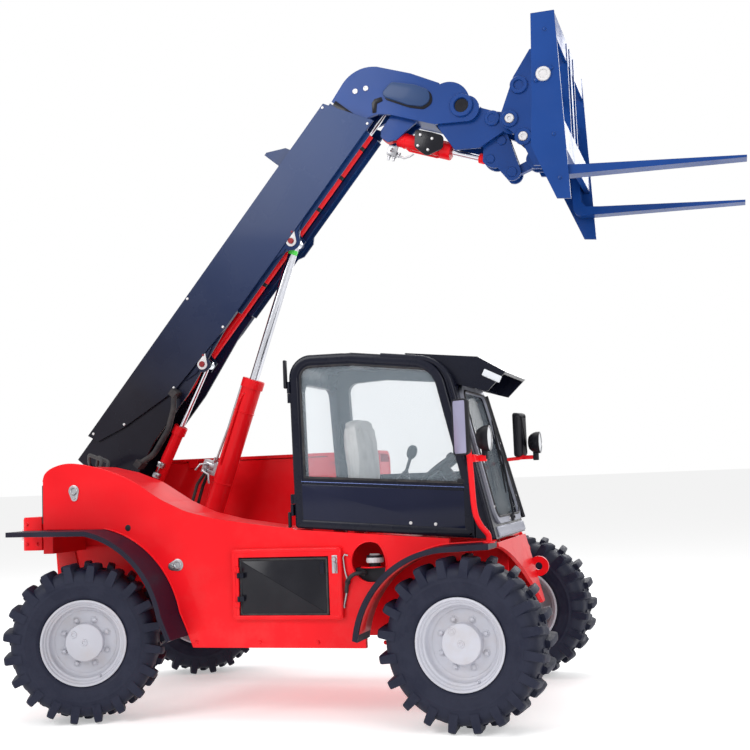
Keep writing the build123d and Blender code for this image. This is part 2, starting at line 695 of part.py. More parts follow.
with BuildPart() as boom_inner:
    inner_low = boom_floor + boom_wall + inner_gap
    inner_high = boom_top - boom_wall - inner_gap
    for gap, mode in ((0, Mode.ADD), (inner_wall, Mode.SUBTRACT)):
        with BuildSketch(along_boom(boom_y)):
            Polygon(
                (inner_back - gap, inner_low + gap), (2960, inner_low + gap), (2960, inner_high - gap),
                (inner_back - gap, inner_high - gap),
                align=None,
            )
        extrude(amount=inner_half - gap, both=True, mode=mode)
    for hand in (-1, 1):
        with BuildSketch(along_boom(boom_y + hand * (head_half - head_t / 2))):
            with BuildLine():
                crest = Polyline((2778, 130), (2778, 352), (2903, 361))
                brow = ThreePointArc(crest @ 1, (3030, 326), (3099, 253))
                back = Polyline(brow @ 1, (3181, 47), (3234, -159))
                boss = ThreePointArc(back @ 1, (3293, -235), (3274, -349))
                chin = ThreePointArc(boss @ 1, (3226, -458), (3150, -440))
                Polyline(chin @ 1, (3022, -279), (2915, -2), (2876, 60), crest @ 0)
            make_face()
        extrude(amount=head_t / 2, both=True)
        with BuildSketch(side(boom_y + hand * (nose_half - nose_t / 2))):
            with BuildLine():
                a = Polyline((1780, 3400), (1837, 3281), (1920, 3150), (2073, 3145), (2220, 3225))
                b = ThreePointArc(a @ 1, (2330, 3290), (2255, 3332))
                Polyline(b @ 1, (2173, 3350), (1950, 3440), a @ 0)
            make_face()
        extrude(amount=nose_t / 2, both=True)
        with BuildSketch(side(boom_y + hand * 54)):
            Polygon((1536, 3420), (1700, 3362), (1560, 3262), (1500, 3256), (1462, 3290), (1466, 3330), align=None)
        extrude(amount=8, both=True)
    # plates that join the two cheeks
    with BuildSketch(side(boom_y)):
        Polygon((1530, 3410), (1810, 3312), (1816, 3328), (1536, 3426), align=None)
        Polygon((1180, 3540), (1248, 3632), (1340, 3700), (1345, 3684), (1258, 3622), (1192, 3532), align=None)
        Polygon((1456, 3712), (1664, 3641), (1660, 3625), (1452, 3696), align=None)
    extrude(amount=head_half - 2, both=True)
    with BuildSketch(side(boom_y)):
        with Locations((1982, 3403)):
            Circle(40)
    extrude(amount=head_half, both=True)
    with BuildSketch(side(boom_y)):
        with Locations(tilt_base):
            Circle(18)
    extrude(amount=62, both=True)
    with BuildSketch(along_boom(boom_y)):
        with Locations((extend_eye_u, extend_v)):
            Circle(14)
    extrude(amount=head_half - 4, both=True)
    # pin of the crank, then the carriage's two stub pins
    with BuildSketch(side(boom_y)):
        with Locations(crank_pivot):
            Circle(pin_r)
    extrude(amount=nose_half, both=True)
    for hand in (-1, 1):
        with BuildSketch(side(boom_y + hand * (nose_half - nose_t + 152) / 2)):
            with Locations(carriage_pivot):
                Circle(pin_r)
        extrude(amount=(152 - nose_half + nose_t) / 2, both=True)
save(boom_inner, "boom_inner")

with BuildPart() as extension_barrel:
    base = along_boom(extend_y, extend_base_u, extend_v)
    with BuildSketch(base):
        Circle(26)
        Circle(12.5, mode=Mode.SUBTRACT)
    extrude(amount=18, both=True)
    with BuildSketch(Plane(origin=along_boom(extend_y, extend_base_u + 20, extend_v).origin, z_dir=base.x_dir)):
        Circle(extend_barrel_r)
    extrude(amount=extend_barrel_end - extend_base_u - 20)
    with BuildSketch(Plane(origin=along_boom(extend_y, extend_base_u + 60, extend_v).origin, z_dir=base.x_dir)):
        Circle(extend_rod_r + 1)
    extrude(amount=extend_barrel_end, mode=Mode.SUBTRACT)
save(extension_barrel, "extension_barrel")

with BuildPart() as extension_rod:
    eye = along_boom(extend_y, extend_eye_u, extend_v)
    with BuildSketch(Plane(origin=along_boom(extend_y, extend_base_u + 80, extend_v).origin, z_dir=eye.x_dir)):
        Circle(extend_rod_r)
    extrude(amount=extend_eye_u - extend_base_u - 100)
    with BuildSketch(eye):
        Circle(30)
        Circle(14.5, mode=Mode.SUBTRACT)
    extrude(amount=18, both=True)
save(extension_rod, "extension_rod")

# ======== cylinders that swing: name, base pin, rod eye, y, barrel radius, rod radius, barrel length,
# where the barrel's full thickness starts, where the rod's hidden end lies, half the eyes' width,
# base pin radius, radius of the rod's eye. The eye has no hole: its pin is the stubs outside it.
rams = [
    ("lift", lift_base, lift_eye, lift_y, lift_barrel_r, lift_rod_r, lift_barrel_len, 72, 712, 24, 22, 38),
    ("level", level_base, level_eye, lift_y, level_barrel_r, level_rod_r, level_barrel_len, 66, 264, 24, 22, 34),
    ("tilt", tilt_base, crank_eye, boom_y, tilt_barrel_r, tilt_rod_r, tilt_barrel_len, 66, 172, 26, 18, 36),
]
for name, base, eye, y, barrel_r, rod_r, barrel_len, body_from, rod_from, eye_half, base_pin_r, eye_r in rams:
    line = line_plane(base, eye, y)
    length = span(base, eye)
    with BuildPart() as barrel:
        with BuildSketch(line.offset(20)):
            Circle(eye_half)
        extrude(amount=body_from)
        with BuildSketch(line.offset(body_from)):
            Circle(barrel_r)
        extrude(amount=barrel_len - body_from)
        with BuildSketch(line.offset(barrel_len - 50)):
            Circle(barrel_r + 6)
        extrude(amount=50)
        with BuildSketch(side(y)):
            with Locations(base):
                Circle(base_pin_r + 20)
        extrude(amount=eye_half, both=True)
        with BuildSketch(side(y)):
            with Locations(base):
                Circle(base_pin_r + 0.5)
        extrude(amount=2 * barrel_r, both=True, mode=Mode.SUBTRACT)
        with BuildSketch(line.offset(body_from + 12)):
            Circle(rod_r + 1)
        extrude(amount=barrel_len, mode=Mode.SUBTRACT)
    save(barrel, f"{name}_barrel")
    with BuildPart() as rod:
        with BuildSketch(line.offset(rod_from)):
            Circle(rod_r)
        extrude(amount=length - rod_from - eye_r / 2)
        with BuildSketch(side(y)):
            with Locations(eye):
                Circle(eye_r)
        extrude(amount=eye_half, both=True)
    save(rod, f"{name}_rod")

# ======== crank, link, carriage and forks
with BuildPart() as crank:
    for hand in (-1, 1):
        with BuildSketch(side(boom_y + hand * 42)):
            with BuildLine():
                a = Line((2108, 3330), (2080, 3070))
                b = ThreePointArc(a @ 1, (2120, 3030), (2165, 3022))
                c = Line(b @ 1, (2225, 2942))
                d = ThreePointArc(c @ 1, (2292, 2955), (2298, 3010))
                e = Line(d @ 1, (2204, 3320))
                ThreePointArc(e @ 1, (2156, 3360), a @ 0)
            make_face()
            with Locations(crank_pivot):
                Circle(pin_r + 0.5, mode=Mode.SUBTRACT)
        extrude(amount=8, both=True)
        with BuildSketch(side(boom_y + hand * 45)):
            with Locations(crank_eye):
                Circle(link_pin_r)
        extrude(amount=11, both=True)
    # the link's pin and the crossbar: place, radius
    for place, r in ((link_from, link_pin_r), (crank_bar, 22)):
        with BuildSketch(side(boom_y)):
            with Locations(place):
                Circle(r)
        extrude(amount=56, both=True)
save(crank, "crank")

with BuildPart() as tilt_link:
    for x, z in (link_from, link_to):
        with BuildSketch(side(boom_y)):
            with Locations((x, z)):
                Circle(38)
        extrude(amount=26, both=True)
    with BuildSketch(side(boom_y)):
        Polygon((2243, 3010), (2262, 2962), (2400, 3014), (2382, 3066), align=None)
    extrude(amount=22, both=True)
    with BuildSketch(side(boom_y)):
        with Locations(link_from):
            Circle(link_pin_r + 0.5)
    extrude(amount=40, both=True, mode=Mode.SUBTRACT)
save(tilt_link, "tilt_link")

with BuildPart() as carriage:
    for hand in (-1, 1):
        # end plates
        with BuildSketch(side(boom_y + hand * (carriage_half - plate_t / 2))):
            Polygon((2488, 3700), (2616, 3700), (2652, 2664), (2578, 2672), (2454, 2967), (2474, 3300), align=None)
        extrude(amount=plate_t / 2, both=True)
        # brackets that take the boom head between them
        with BuildSketch(side(boom_y + hand * 138)):
            with BuildLine():
                a = Polyline((2620, 3671), (2405, 3671), (2303, 3521), (2215, 3300))
                b = ThreePointArc(a @ 1, (2222, 3240), (2262, 3215))
                Polyline(b @ 1, (2330, 3140), (2395, 2985), (2620, 2960), a @ 0)
            make_face()
            with Locations(carriage_pivot):
                Circle(pin_r + 0.5, mode=Mode.SUBTRACT)
        extrude(amount=11, both=True)
        with BuildSketch(side(boom_y + hand * 44)):
            with BuildLine():
                a = Polyline((2600, 3100), (2420, 3095))
                b = ThreePointArc(a @ 1, (2338, 3040), (2400, 2990))
                Polyline(b @ 1, (2600, 2960), a @ 0)
            make_face()
        extrude(amount=9, both=True)
        with BuildSketch(side(boom_y + hand * 47)):
            with Locations(link_to):
                Circle(link_pin_r)
        extrude(amount=12, both=True)
    # crossbars: x from, x to, z from, z to
    for x0, x1, z0, z1 in ((2596, 2616, 3560, 3690), (2596, 2630, 2960, 3110)):
        with Locations(at((x0 + x1) / 2, boom_y, (z0 + z1) / 2)):
            Box(x1 - x0, 2 * carriage_half - plate_t, z1 - z0)
    with Locations(at(2590, boom_y, 3320)):
        Box(60, 60, 720)
    # fork shaft and the tube between the brackets: place, radius, half length
    for place, r, half in ((shaft_at, shaft_r, carriage_half - 2), ((2333, 3466), 45, 140)):
        with BuildSketch(side(boom_y)):
            with Locations(place):
                Circle(r)
        extrude(amount=half, both=True)
save(carriage, "carriage")

for name, hand in (("fork_right", -1), ("fork_left", 1)):
    fork_y = boom_y + hand * fork_spread
    with BuildPart() as fork:
        with BuildSketch(side(fork_y)):
            with BuildLine():
                a = Polyline((2530, 3400), (2530, 2850))
                b = ThreePointArc(a @ 1, (2546, 2815), (2585, fork_under_z))
                Polyline(
                    b @ 1, (fork_tip_x, fork_under_z - 16), (fork_tip_x, fork_under_z - 4),
                    (2700, fork_under_z + fork_t + 2), (2610, fork_under_z + fork_t + 10), (2582, 2890), (2575, 3400),
                    a @ 0,
                )
            make_face()
            with Locations(shaft_at):
                Circle(46)
            with Locations(shaft_at):
                Circle(shaft_r + 1, mode=Mode.SUBTRACT)
        extrude(amount=fork_w / 2, both=True)
    save(fork, name)

# ======== cab
def cab_profile(inset=0.0):
    """The cab seen from the side, or the same set in all round."""
    with BuildSketch(Plane.XY, mode=Mode.PRIVATE) as profile:
        Polygon(*cab_outline, align=None)
        for (x, z), r in cab_corners:
            fillet(profile.vertices().sort_by_distance((x, z, 0))[0], r)
        if inset:
            offset(amount=-inset, mode=Mode.REPLACE)
    return profile.sketch


def cab_solid(inset, low_y, left_y):
    """The cab's profile run across the machine from low_y to the leaning left wall."""
    with BuildPart(mode=Mode.PRIVATE) as solid:
        with BuildSketch(side(0)):
            add(cab_profile(inset))
        extrude(amount=1000, both=True)
        with BuildSketch(front(0)):
            Polygon((low_y, 850), (left_y, 850), (left_y - cab_lean, 1900), (low_y, 1900), align=None)
        extrude(amount=2400, mode=Mode.INTERSECT)
    return solid.part


def door_sketch(grow=0.0):
    """The door seen from the side: the cab's profile behind its fixed front pillar."""
    with BuildSketch(Plane.XY, mode=Mode.PRIVATE) as outline:
        add(cab_profile())
        add(Pos(-pillar_w, 0) * cab_profile(), mode=Mode.INTERSECT)
        with Locations((door_front_x, 0)):
            Rectangle(2000, 4000, align=(Align.MAX, Align.CENTER), mode=Mode.INTERSECT)
        if grow:
            offset(amount=grow, mode=Mode.REPLACE)
    return outline.sketch


def door_pane():
    """The door's glass seen from the side, down to the belt line."""
    with BuildSketch(Plane.XY, mode=Mode.PRIVATE) as pane:
        add(cab_profile(glass_rim))
        Polygon(belt[0], belt[1], (belt[1][0], 2000), (belt[0][0], 2000), align=None, mode=Mode.INTERSECT)
    return pane.sketch


window_r = 60.0
windows = {  # corners of the openings, the screen's up its slope
    "left": [(1290, 1250), (1290, 1775), (1521, 1785), (1880, 1748), (1960, 1700), (2075, 1250)],
    "rear": [(-590, 1180), (-10, 1180), (-80, 1740), (-590, 1740)],
    "screen": [(-600, 105), (45, 105), (-50, 770), (-600, 770)],
}
slope_x, slope_z = screen_top[0] - screen_foot[0], screen_top[1] - screen_foot[1]
slope_len = math.hypot(slope_x, slope_z)
screen_plane = Plane(  # local X to the left, local Y up the windscreen
    origin=(screen_foot[0] - centre_x, 0, screen_foot[1]), x_dir=(0, 1, 0),
    z_dir=(slope_z / slope_len, 0, -slope_x / slope_len),
)


def window(name, grow=0.0):
    with BuildSketch(Plane.XY, mode=Mode.PRIVATE) as pane:
        Polygon(*windows[name], align=None)
        fillet(pane.vertices(), window_r)
        if grow:
            offset(amount=grow, mode=Mode.REPLACE)
    return pane.sketch


shell_y = cab_right + door_t + door_gap_y
with BuildPart() as cab_shell:
    add(cab_solid(0, shell_y, cab_left))
    add(cab_solid(cab_wall, shell_y + cab_wall, cab_left - cab_wall), mode=Mode.SUBTRACT)
    # doorway, side window, rear window and windscreen opening
    with BuildSketch(side(shell_y + cab_wall)):
        add(door_sketch(-cab_wall))
    extrude(amount=cab_wall + 20, mode=Mode.SUBTRACT)
    with BuildSketch(side(cab_left - 200)):
        add(window("left"))
    extrude(amount=-300, mode=Mode.SUBTRACT)
    with BuildSketch(front(1150)):
        add(window("rear"))
    extrude(amount=120, mode=Mode.SUBTRACT)
    with BuildSketch(screen_plane):
        add(window("screen"))
    extrude(amount=150, both=True, mode=Mode.SUBTRACT)
    # the fixed pillar comes out to the door's face
    with BuildSketch(side(shell_y)):
        add(cab_profile())
        add(door_sketch(door_gap_y), mode=Mode.SUBTRACT)
    extrude(amount=door_t + door_gap_y)
    # knuckles of the door's hinge
    for z in (1080, 1720):
        with Locations(at(door_hinge_x, door_hinge_y, z)):
            Cylinder(hinge_r, 60)
        with Locations(at(door_hinge_x - 5, (door_hinge_y + shell_y) / 2, z)):
            Box(8, shell_y - door_hinge_y, 60)
        with Locations(at(door_hinge_x + 9, shell_y + 10, z)):
            Box(36, 20, 60)
save(cab_shell, "cab_shell")

with BuildPart() as door:
    with BuildSketch(side(cab_right + door_t)):
        add(door_sketch())
    extrude(amount=door_t)
    with BuildSketch(side(cab_right + door_t)):
        add(door_pane())
    extrude(amount=door_t, mode=Mode.SUBTRACT)
    # its own knuckles, above and below the cab's, on leaves let into its face
    for z in (1137, 1663):
        with Locations(at(door_hinge_x, door_hinge_y, z)):
            Cylinder(hinge_r, 50)
        with Locations(at(door_hinge_x + 13, cab_right - 3, z)):
            Box(26, 10, 50)
save(door, "door")

with BuildPart() as door_glass:
    with BuildSketch(side(cab_right + glass_set + glass_t)):
        add(door_pane())
    extrude(amount=glass_t)
save(door_glass, "door_glass")

with BuildPart() as windscreen:
    with BuildSketch(screen_plane.offset(-glass_set)):
        add(window("screen"))
    extrude(amount=-glass_t)
save(windscreen, "windscreen")

with BuildPart() as windscreen_frame:
    with BuildSketch(screen_plane):
        add(window("screen", screen_frame_w))
        add(window("screen", -6), mode=Mode.SUBTRACT)
    extrude(amount=screen_frame_t)
save(windscreen_frame, "windscreen_frame")

with BuildPart() as cab_windows:
    # left pane, in the leaning wall, then the rear one
    with BuildSketch(side(0)):
        add(window("left"))
    extrude(amount=1000, both=True)
    with BuildSketch(front(0)):
        Polygon(
            (cab_left - glass_set, 850), (cab_left - glass_set - cab_lean, 1900),
            (cab_left - glass_set - glass_t - cab_lean, 1900), (cab_left - glass_set - glass_t, 850),
            align=None,
        )
    extrude(amount=2400, mode=Mode.INTERSECT)
    with BuildSketch(front(1200)):
        add(window("rear"))
    extrude(amount=glass_t)
save(cab_windows, "cab_windows")

with BuildPart() as visor:
    with BuildSketch(side((visor_y0 + visor_y1) / 2)):
        Polygon((1800, 1866), (2179, 1822), (2320, 1736), (2222, 1642), (2060, 1690), (1800, 1820), align=None)
    extrude(amount=(visor_y1 - visor_y0) / 2, both=True)
    # hollow under the brim, open to the front and below
    with BuildSketch(side((visor_y0 + visor_y1) / 2)):
        Polygon((2120, 1816), (2172, 1808), (2312, 1722), (2400, 1640), (2400, 1500), (2180, 1600), align=None)
    extrude(amount=(visor_y1 - visor_y0) / 2 - visor_t, both=True, mode=Mode.SUBTRACT)
    add(cab_solid(0, -1000, cab_left), mode=Mode.SUBTRACT)
    add(windscreen_frame.part, mode=Mode.SUBTRACT)
save(visor, "visor")

# ======== inside the cab
floor_slope = (screen_foot[1] - cab_outline[0][1]) / (screen_foot[0] - cab_outline[0][0])


def floor_z(x):
    """Height of the cab's floor at a station."""
    return cab_outline[0][1] + floor_slope * (x - cab_outline[0][0]) + cab_wall * math.hypot(1, floor_slope)


with BuildPart() as seat:
    with BuildSketch(side(seat_y)):
        Polygon((1440, floor_z(1440)), (1700, floor_z(1700)), (1700, 1090), (1440, 1090), align=None)
    extrude(amount=150, both=True)
    with BuildSketch(side(seat_y)):
        Polygon((1380, 1080), (1770, 1080), (1790, 1190), (1380, 1180), align=None)
    extrude(amount=seat_half, both=True)
    with BuildSketch(side(seat_y)) as back:
        Polygon((1356, 1100), (1526, 1100), (1526, 1390), (1500, 1556), (1390, 1556), align=None)
        fillet(back.vertices().group_by(Axis.Y)[-1], 50)
    extrude(amount=seat_half, both=True)
save(seat, "seat")

lever_plane = Plane(origin=at(1738, lever_y, 1200).position, x_dir=(0.943, 0, -0.333), z_dir=(0, -1, 0))
wheel_plane = Plane(origin=at(1893, seat_y, 1276).position, x_dir=(0, 1, 0), z_dir=(-0.57, 0, 0.82))
with BuildPart() as dash:
    # column and panel ahead of the driver, steering column, then the lever's console at the right
    with BuildSketch(side(seat_y)):
        Polygon((1965, floor_z(1965)), (2120, floor_z(2120)), (2090, 1190), (2060, 1240), (1985, 1200), align=None)
    extrude(amount=170, both=True)
    with BuildSketch(wheel_plane.offset(-170)):
        Circle(30)
    extrude(amount=170 - wheel_rim_r / 2)
    with BuildSketch(side(lever_y)):
        Polygon((1560, floor_z(1560)), (1830, floor_z(1830)), (1800, 1200), (1590, 1200), align=None)
    extrude(amount=42, both=True)
save(dash, "dash")

with BuildPart() as lever:
    # bellows, stem and grip: distance from the line of the lever, along it
    with BuildSketch(lever_plane):
        Polygon(
            (0, -20), (40, -20), (40, 4), (34, 14), (37, 24),
            (27, 34), (30, 44), (16, 62), (9, 64), (9, 132), (20, 140),
            (27, 162), (24, 188), (12, 200), (0, 202),
            align=None,
        )
    revolve(axis=Axis(lever_plane.origin, lever_plane.y_dir))
    add(dash.part, mode=Mode.SUBTRACT)
save(lever, "lever")

with BuildPart() as steering_wheel:
    with BuildSketch(Plane(origin=wheel_plane.origin, x_dir=wheel_plane.z_dir, z_dir=wheel_plane.x_dir)):
        with Locations((0, steering_r)):
            Circle(wheel_rim_r)
    revolve(axis=Axis(wheel_plane.origin, wheel_plane.z_dir))
    with BuildSketch(wheel_plane):
        for turn in (30, 150, 270):
            with Locations(Rotation(0, 0, turn)):
                Rectangle(steering_r, 26, align=(Align.MIN, Align.CENTER))
        Circle(38)
    extrude(amount=wheel_rim_r / 2, both=True)
save(steering_wheel, "steering_wheel")

# ======== mirrors, each on a tube: tube's points and radius, bends' radius, head's middle, turn and height
mirror_sets = [
    ([(2232, -820, 885), (2232, -820, 950), (2176, -845, 1010), (2170, -890, 1310), (2160, -925, 1400)],
     14, 45, (2144, -930, 1457), 35, 272),
    ([(2120, 24, 1297), (2270, 62, 1312), (2266, 62, 1400)], 10, 30, (2258, 62, 1440), -20, 246),
]
with BuildPart() as mirrors:
    for points, r, bend_r, middle, turn, tall in mirror_sets:
        with BuildLine() as route:
            FilletPolyline(*[at(*p).position for p in points], radius=bend_r)
        with BuildSketch(Plane(origin=route.line @ 0, z_dir=route.line % 0)):
            Circle(r)
        sweep(path=route.line)
        with BuildSketch(level(middle[2] - tall / 2)):
            with Locations(Location((middle[0], middle[1], 0), (0, 0, turn))):
                RectangleRounded(mirror_t, mirror_w, 14)
        extrude(amount=tall)
    # arms that carry the lamps: x from, x to, y, z
    for x0, x1, y, z in ((2160, 2184, -840, 1306), (2250, 2318, 62, 1312)):
        with Locations(at((x0 + x1) / 2, y, z)):
            Box(x1 - x0, 104 if y < 0 else 24, 20)
    add(cab_solid(0, cab_right, cab_left), mode=Mode.SUBTRACT)
    add(fenders.part, mode=Mode.SUBTRACT)
    add(windscreen_frame.part, mode=Mode.SUBTRACT)
save(mirrors, "mirrors")

with BuildPart() as work_lights:
    # lamps beside the windscreen: bracket's foot, lamp's middle, lamp's radius
    for foot, middle, r in (
        ((2196, -800, 1306), (2225, -800, 1402), 64),
        ((2330, 62, 1318), (2334, 62, 1392), 60),
    ):
        lamp = Plane(origin=at(*middle).position, x_dir=(0, 1, 0), z_dir=(1, 0, 0))
        for x, radius in ((-34, 0.6 * r), (6, r)):
            with BuildSketch(lamp.offset(x)):
                Circle(radius)
        loft()
        with BuildSketch(lamp.offset(6)):
            Circle(r)
        extrude(amount=26)
        with Locations(at((foot[0] + middle[0]) / 2, foot[1], (foot[2] + middle[2] - r) / 2)):
            Box(middle[0] - foot[0] + 24, 24, middle[2] - r - foot[2] + 20)
    # lamp under the brim of the visor
    with BuildSketch(side(visor_y0 + visor_t)):
        Polygon((2190, 1796.9), (2270, 1747.8), (2252.2, 1718.8), (2172.2, 1767.9), align=None)
    extrude(amount=-110)
save(work_lights, "work_lights")

# ======== hoses
tower_face = boom_y - tower_in - tower_t
hump_hoses = [  # from the hump's inner wall to the boom's right tower
    [
        (-190, hump_y1 - 15, 1272), (-200, -240, 1400), (-380, -90, 1440),
        (-470, 60, 1380), (-386, tower_face + 15, 1224),
    ],
    [
        (-150, hump_y1 - 15, 1272), (-160, -235, 1385), (-330, -70, 1425),
        (-425, 70, 1365), (-335, tower_face + 15, 1246),
    ],
]
boom_sleeve = [(765, 45), (685, -15), (566, -65), (381, -84), (275, -40)]  # along and across the boom


def tube(points, r, bend_r):
    """A hose of straight runs joined by tangent arcs."""
    with BuildPart(mode=Mode.PRIVATE) as hose:
        with BuildLine() as route:
            FilletPolyline(*points, radius=bend_r)
        with BuildSketch(Plane(origin=route.line @ 0, z_dir=route.line % 0)):
            Circle(r)
        sweep(path=route.line)
    return hose.part


with BuildPart() as hoses:
    for route_points in hump_hoses:
        add(tube([at(*p).position for p in route_points], hose_r, 90))
    with Locations(at(-300, (hump_y1 + tower_face) / 2, 1300)):
        Box(600, tower_face - hump_y1, 600, mode=Mode.INTERSECT)
save(hoses, "hoses")

with BuildPart() as boom_hoses:
    add(tube([along_boom(sleeve_y, u, v).origin for u, v in boom_sleeve], sleeve_r, 140))
    # clamps on the boom's side
    for u, v in (boom_sleeve[0], boom_sleeve[-1]):
        with BuildSketch(along_boom(boom_y - boom_half, u, v)):
            Rectangle(44, 44)
        extrude(amount=boom_y - boom_half - sleeve_y + sleeve_r + 6)
save(boom_hoses, "boom_hoses")

# valve block on the lifting cylinder with its pipe, and the hoses that loop back to the barrel
lift_line = line_plane(lift_base, lift_eye, lift_y)


def by_lift(y, along, out):
    """A point beside the lifting cylinder: along it from its base pin, out behind it."""
    run = lift_line.z_dir
    behind = Vector(-run.Z, 0, run.X)
    return lift_line.origin + run * along + behind * out + Vector(0, y, 0)


with BuildPart() as lift_valve:
    with BuildSketch(Plane(origin=by_lift(0, 686, 98), x_dir=(0, 1, 0), z_dir=lift_line.z_dir)):
        Rectangle(70, 96)
    extrude(amount=80)
    add(tube([by_lift(0, 760, 84), by_lift(0, 1000, 70), by_lift(0, lift_barrel_len - 42, 68)], 7, 60))
    with BuildSketch(lift_line.offset(600)):
        Circle(lift_barrel_r)
    extrude(amount=lift_barrel_len - 650, mode=Mode.SUBTRACT)
    with BuildSketch(lift_line.offset(lift_barrel_len - 50)):
        Circle(lift_barrel_r + 6)
    extrude(amount=50, mode=Mode.SUBTRACT)
save(lift_valve, "lift_valve")

with BuildPart() as lift_hoses:
    for y, reach in ((-20, 150), (20, 128)):
        loop = [by_lift(y, along, out) for along, out in ((700, 118), (600, reach), (470, reach - 4), (350, 56))]
        add(tube(loop, 10, 60))
    with BuildSketch(lift_line.offset(200)):
        Circle(lift_barrel_r)
    extrude(amount=600, mode=Mode.SUBTRACT)
    add(lift_valve.part, mode=Mode.SUBTRACT)
save(lift_hoses, "lift_hoses")
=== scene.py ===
"""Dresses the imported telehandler: materials, detail, camera and light. Metres, +X forward, +Z up."""

import json
import math

import bmesh
import bpy
from mathutils import Matrix, Vector, noise


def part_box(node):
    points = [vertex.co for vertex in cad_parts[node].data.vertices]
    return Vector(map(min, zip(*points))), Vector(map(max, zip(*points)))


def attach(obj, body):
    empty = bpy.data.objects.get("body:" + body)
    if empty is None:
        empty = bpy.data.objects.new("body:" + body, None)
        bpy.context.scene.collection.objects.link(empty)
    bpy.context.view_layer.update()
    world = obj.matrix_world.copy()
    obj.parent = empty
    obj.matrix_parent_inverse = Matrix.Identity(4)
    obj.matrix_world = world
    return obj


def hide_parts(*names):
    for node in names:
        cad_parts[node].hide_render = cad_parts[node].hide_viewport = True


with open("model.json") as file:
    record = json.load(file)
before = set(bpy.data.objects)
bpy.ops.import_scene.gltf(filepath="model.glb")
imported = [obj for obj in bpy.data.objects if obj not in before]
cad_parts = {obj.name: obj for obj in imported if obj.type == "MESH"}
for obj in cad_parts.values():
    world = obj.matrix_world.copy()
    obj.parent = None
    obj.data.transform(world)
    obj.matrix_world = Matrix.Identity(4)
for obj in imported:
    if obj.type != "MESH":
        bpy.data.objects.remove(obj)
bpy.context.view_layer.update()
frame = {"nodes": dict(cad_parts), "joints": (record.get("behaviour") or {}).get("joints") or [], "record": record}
nodes = frame["nodes"]

FORK_TIP_STATION = 3.55
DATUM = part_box("fork_right")[1].x - FORK_TIP_STATION  # stations are measured from this
RIGHT = Vector((0, -1, 0))
BOOM_Y = 0.3  # the boom's middle
BOOM_ANGLE = math.radians(49.6)
PIVOT = (-0.36, 1.19)  # station and height of the boom's pin


def at(x, y, z):
    """A point from its station, its side and its height."""
    return Vector((x + DATUM, y, z))


def along(u, v, y=BOOM_Y):
    """A point from its place along the boom and across it."""
    c, s = math.cos(BOOM_ANGLE), math.sin(BOOM_ANGLE)
    return at(PIVOT[0] + u * c - v * s, y, PIVOT[1] + u * s + v * c)


# ---------------------------------------------------------------- materials

EDGE = 0.0035  # how far paint rounds a sharp edge
MATERIALS = {}  # by the name of their slot or their paint


class Graph:
    """A new material's node tree, with short calls for what the paints below need."""

    def __init__(self, name):
        material = MATERIALS[name] = bpy.data.materials.new(name)
        material.use_nodes = True
        self.tree = material.node_tree
        self.shader = self.tree.nodes["Principled BSDF"]
        self.coords = self.add("ShaderNodeTexCoord").outputs["Object"]

    def add(self, kind, **inputs):
        """A new node with its inputs fed; an underscore stands for a space."""
        node = self.tree.nodes.new(kind)
        for key, value in inputs.items():
            self.feed(node.inputs[key.replace("_", " ")], value)
        return node

    def feed(self, socket, value):
        """Links a socket to another node's output, or sets it to a constant."""
        if isinstance(value, bpy.types.NodeSocket):
            self.tree.links.new(value, socket)
        elif isinstance(value, tuple) and len(value) == 3 and len(socket.default_value) == 4:
            socket.default_value = (*value, 1.0)
        else:
            socket.default_value = value

    def noise(self, scale, detail=3.0, rough=0.55):
        """Noise over the piece, its scale in cycles to the metre."""
        texture = self.add(
            "ShaderNodeTexNoise", Vector=self.coords, Scale=scale, Detail=detail, Roughness=rough
        )
        return texture.outputs["Fac"]

    def ramp(self, value, low, high, start=0.0, end=1.0):
        """Maps a value's range from low to high onto start to end."""
        node = self.add("ShaderNodeMapRange", Value=value)
        for key, number in (("From Min", low), ("From Max", high), ("To Min", start), ("To Max", end)):
            node.inputs[key].default_value = number
        return node.outputs[0]

    def mix(self, share, first, second):
        """Blends two colours, the second as far as the share says."""
        node = self.tree.nodes.new("ShaderNodeMix")
        node.data_type = "RGBA"
        for socket, value in ((0, share), (6, first), (7, second)):
            self.feed(node.inputs[socket], value)
        return node.outputs[2]

    def math(self, operation, first, second):
        """One operation on two numbers."""
        node = self.tree.nodes.new("ShaderNodeMath")
        node.operation = operation
        self.feed(node.inputs[0], first)
        self.feed(node.inputs[1], second)
        return node.outputs[0]

    def axis(self, name):
        """The place along X, Y or Z."""
        return self.add("ShaderNodeSeparateXYZ", Vector=self.coords).outputs[name]

    def bump(self, value, strength, distance, edge=0.0):
        """A fine relief, over edges that are shaded as rounded by the given radius."""
        node = self.add("ShaderNodeBump", Height=value, Strength=strength, Distance=distance)
        if edge:
            soft = self.add("ShaderNodeBevel", Radius=edge)
            soft.samples = 4
            self.tree.links.new(soft.outputs[0], node.inputs["Normal"])
        self.tree.links.new(node.outputs[0], self.shader.inputs["Normal"])

    def set(self, **values):
        """Feeds the shader's own sockets."""
        for key, value in values.items():
            self.feed(self.shader.inputs[key.replace("_", " ")], value)


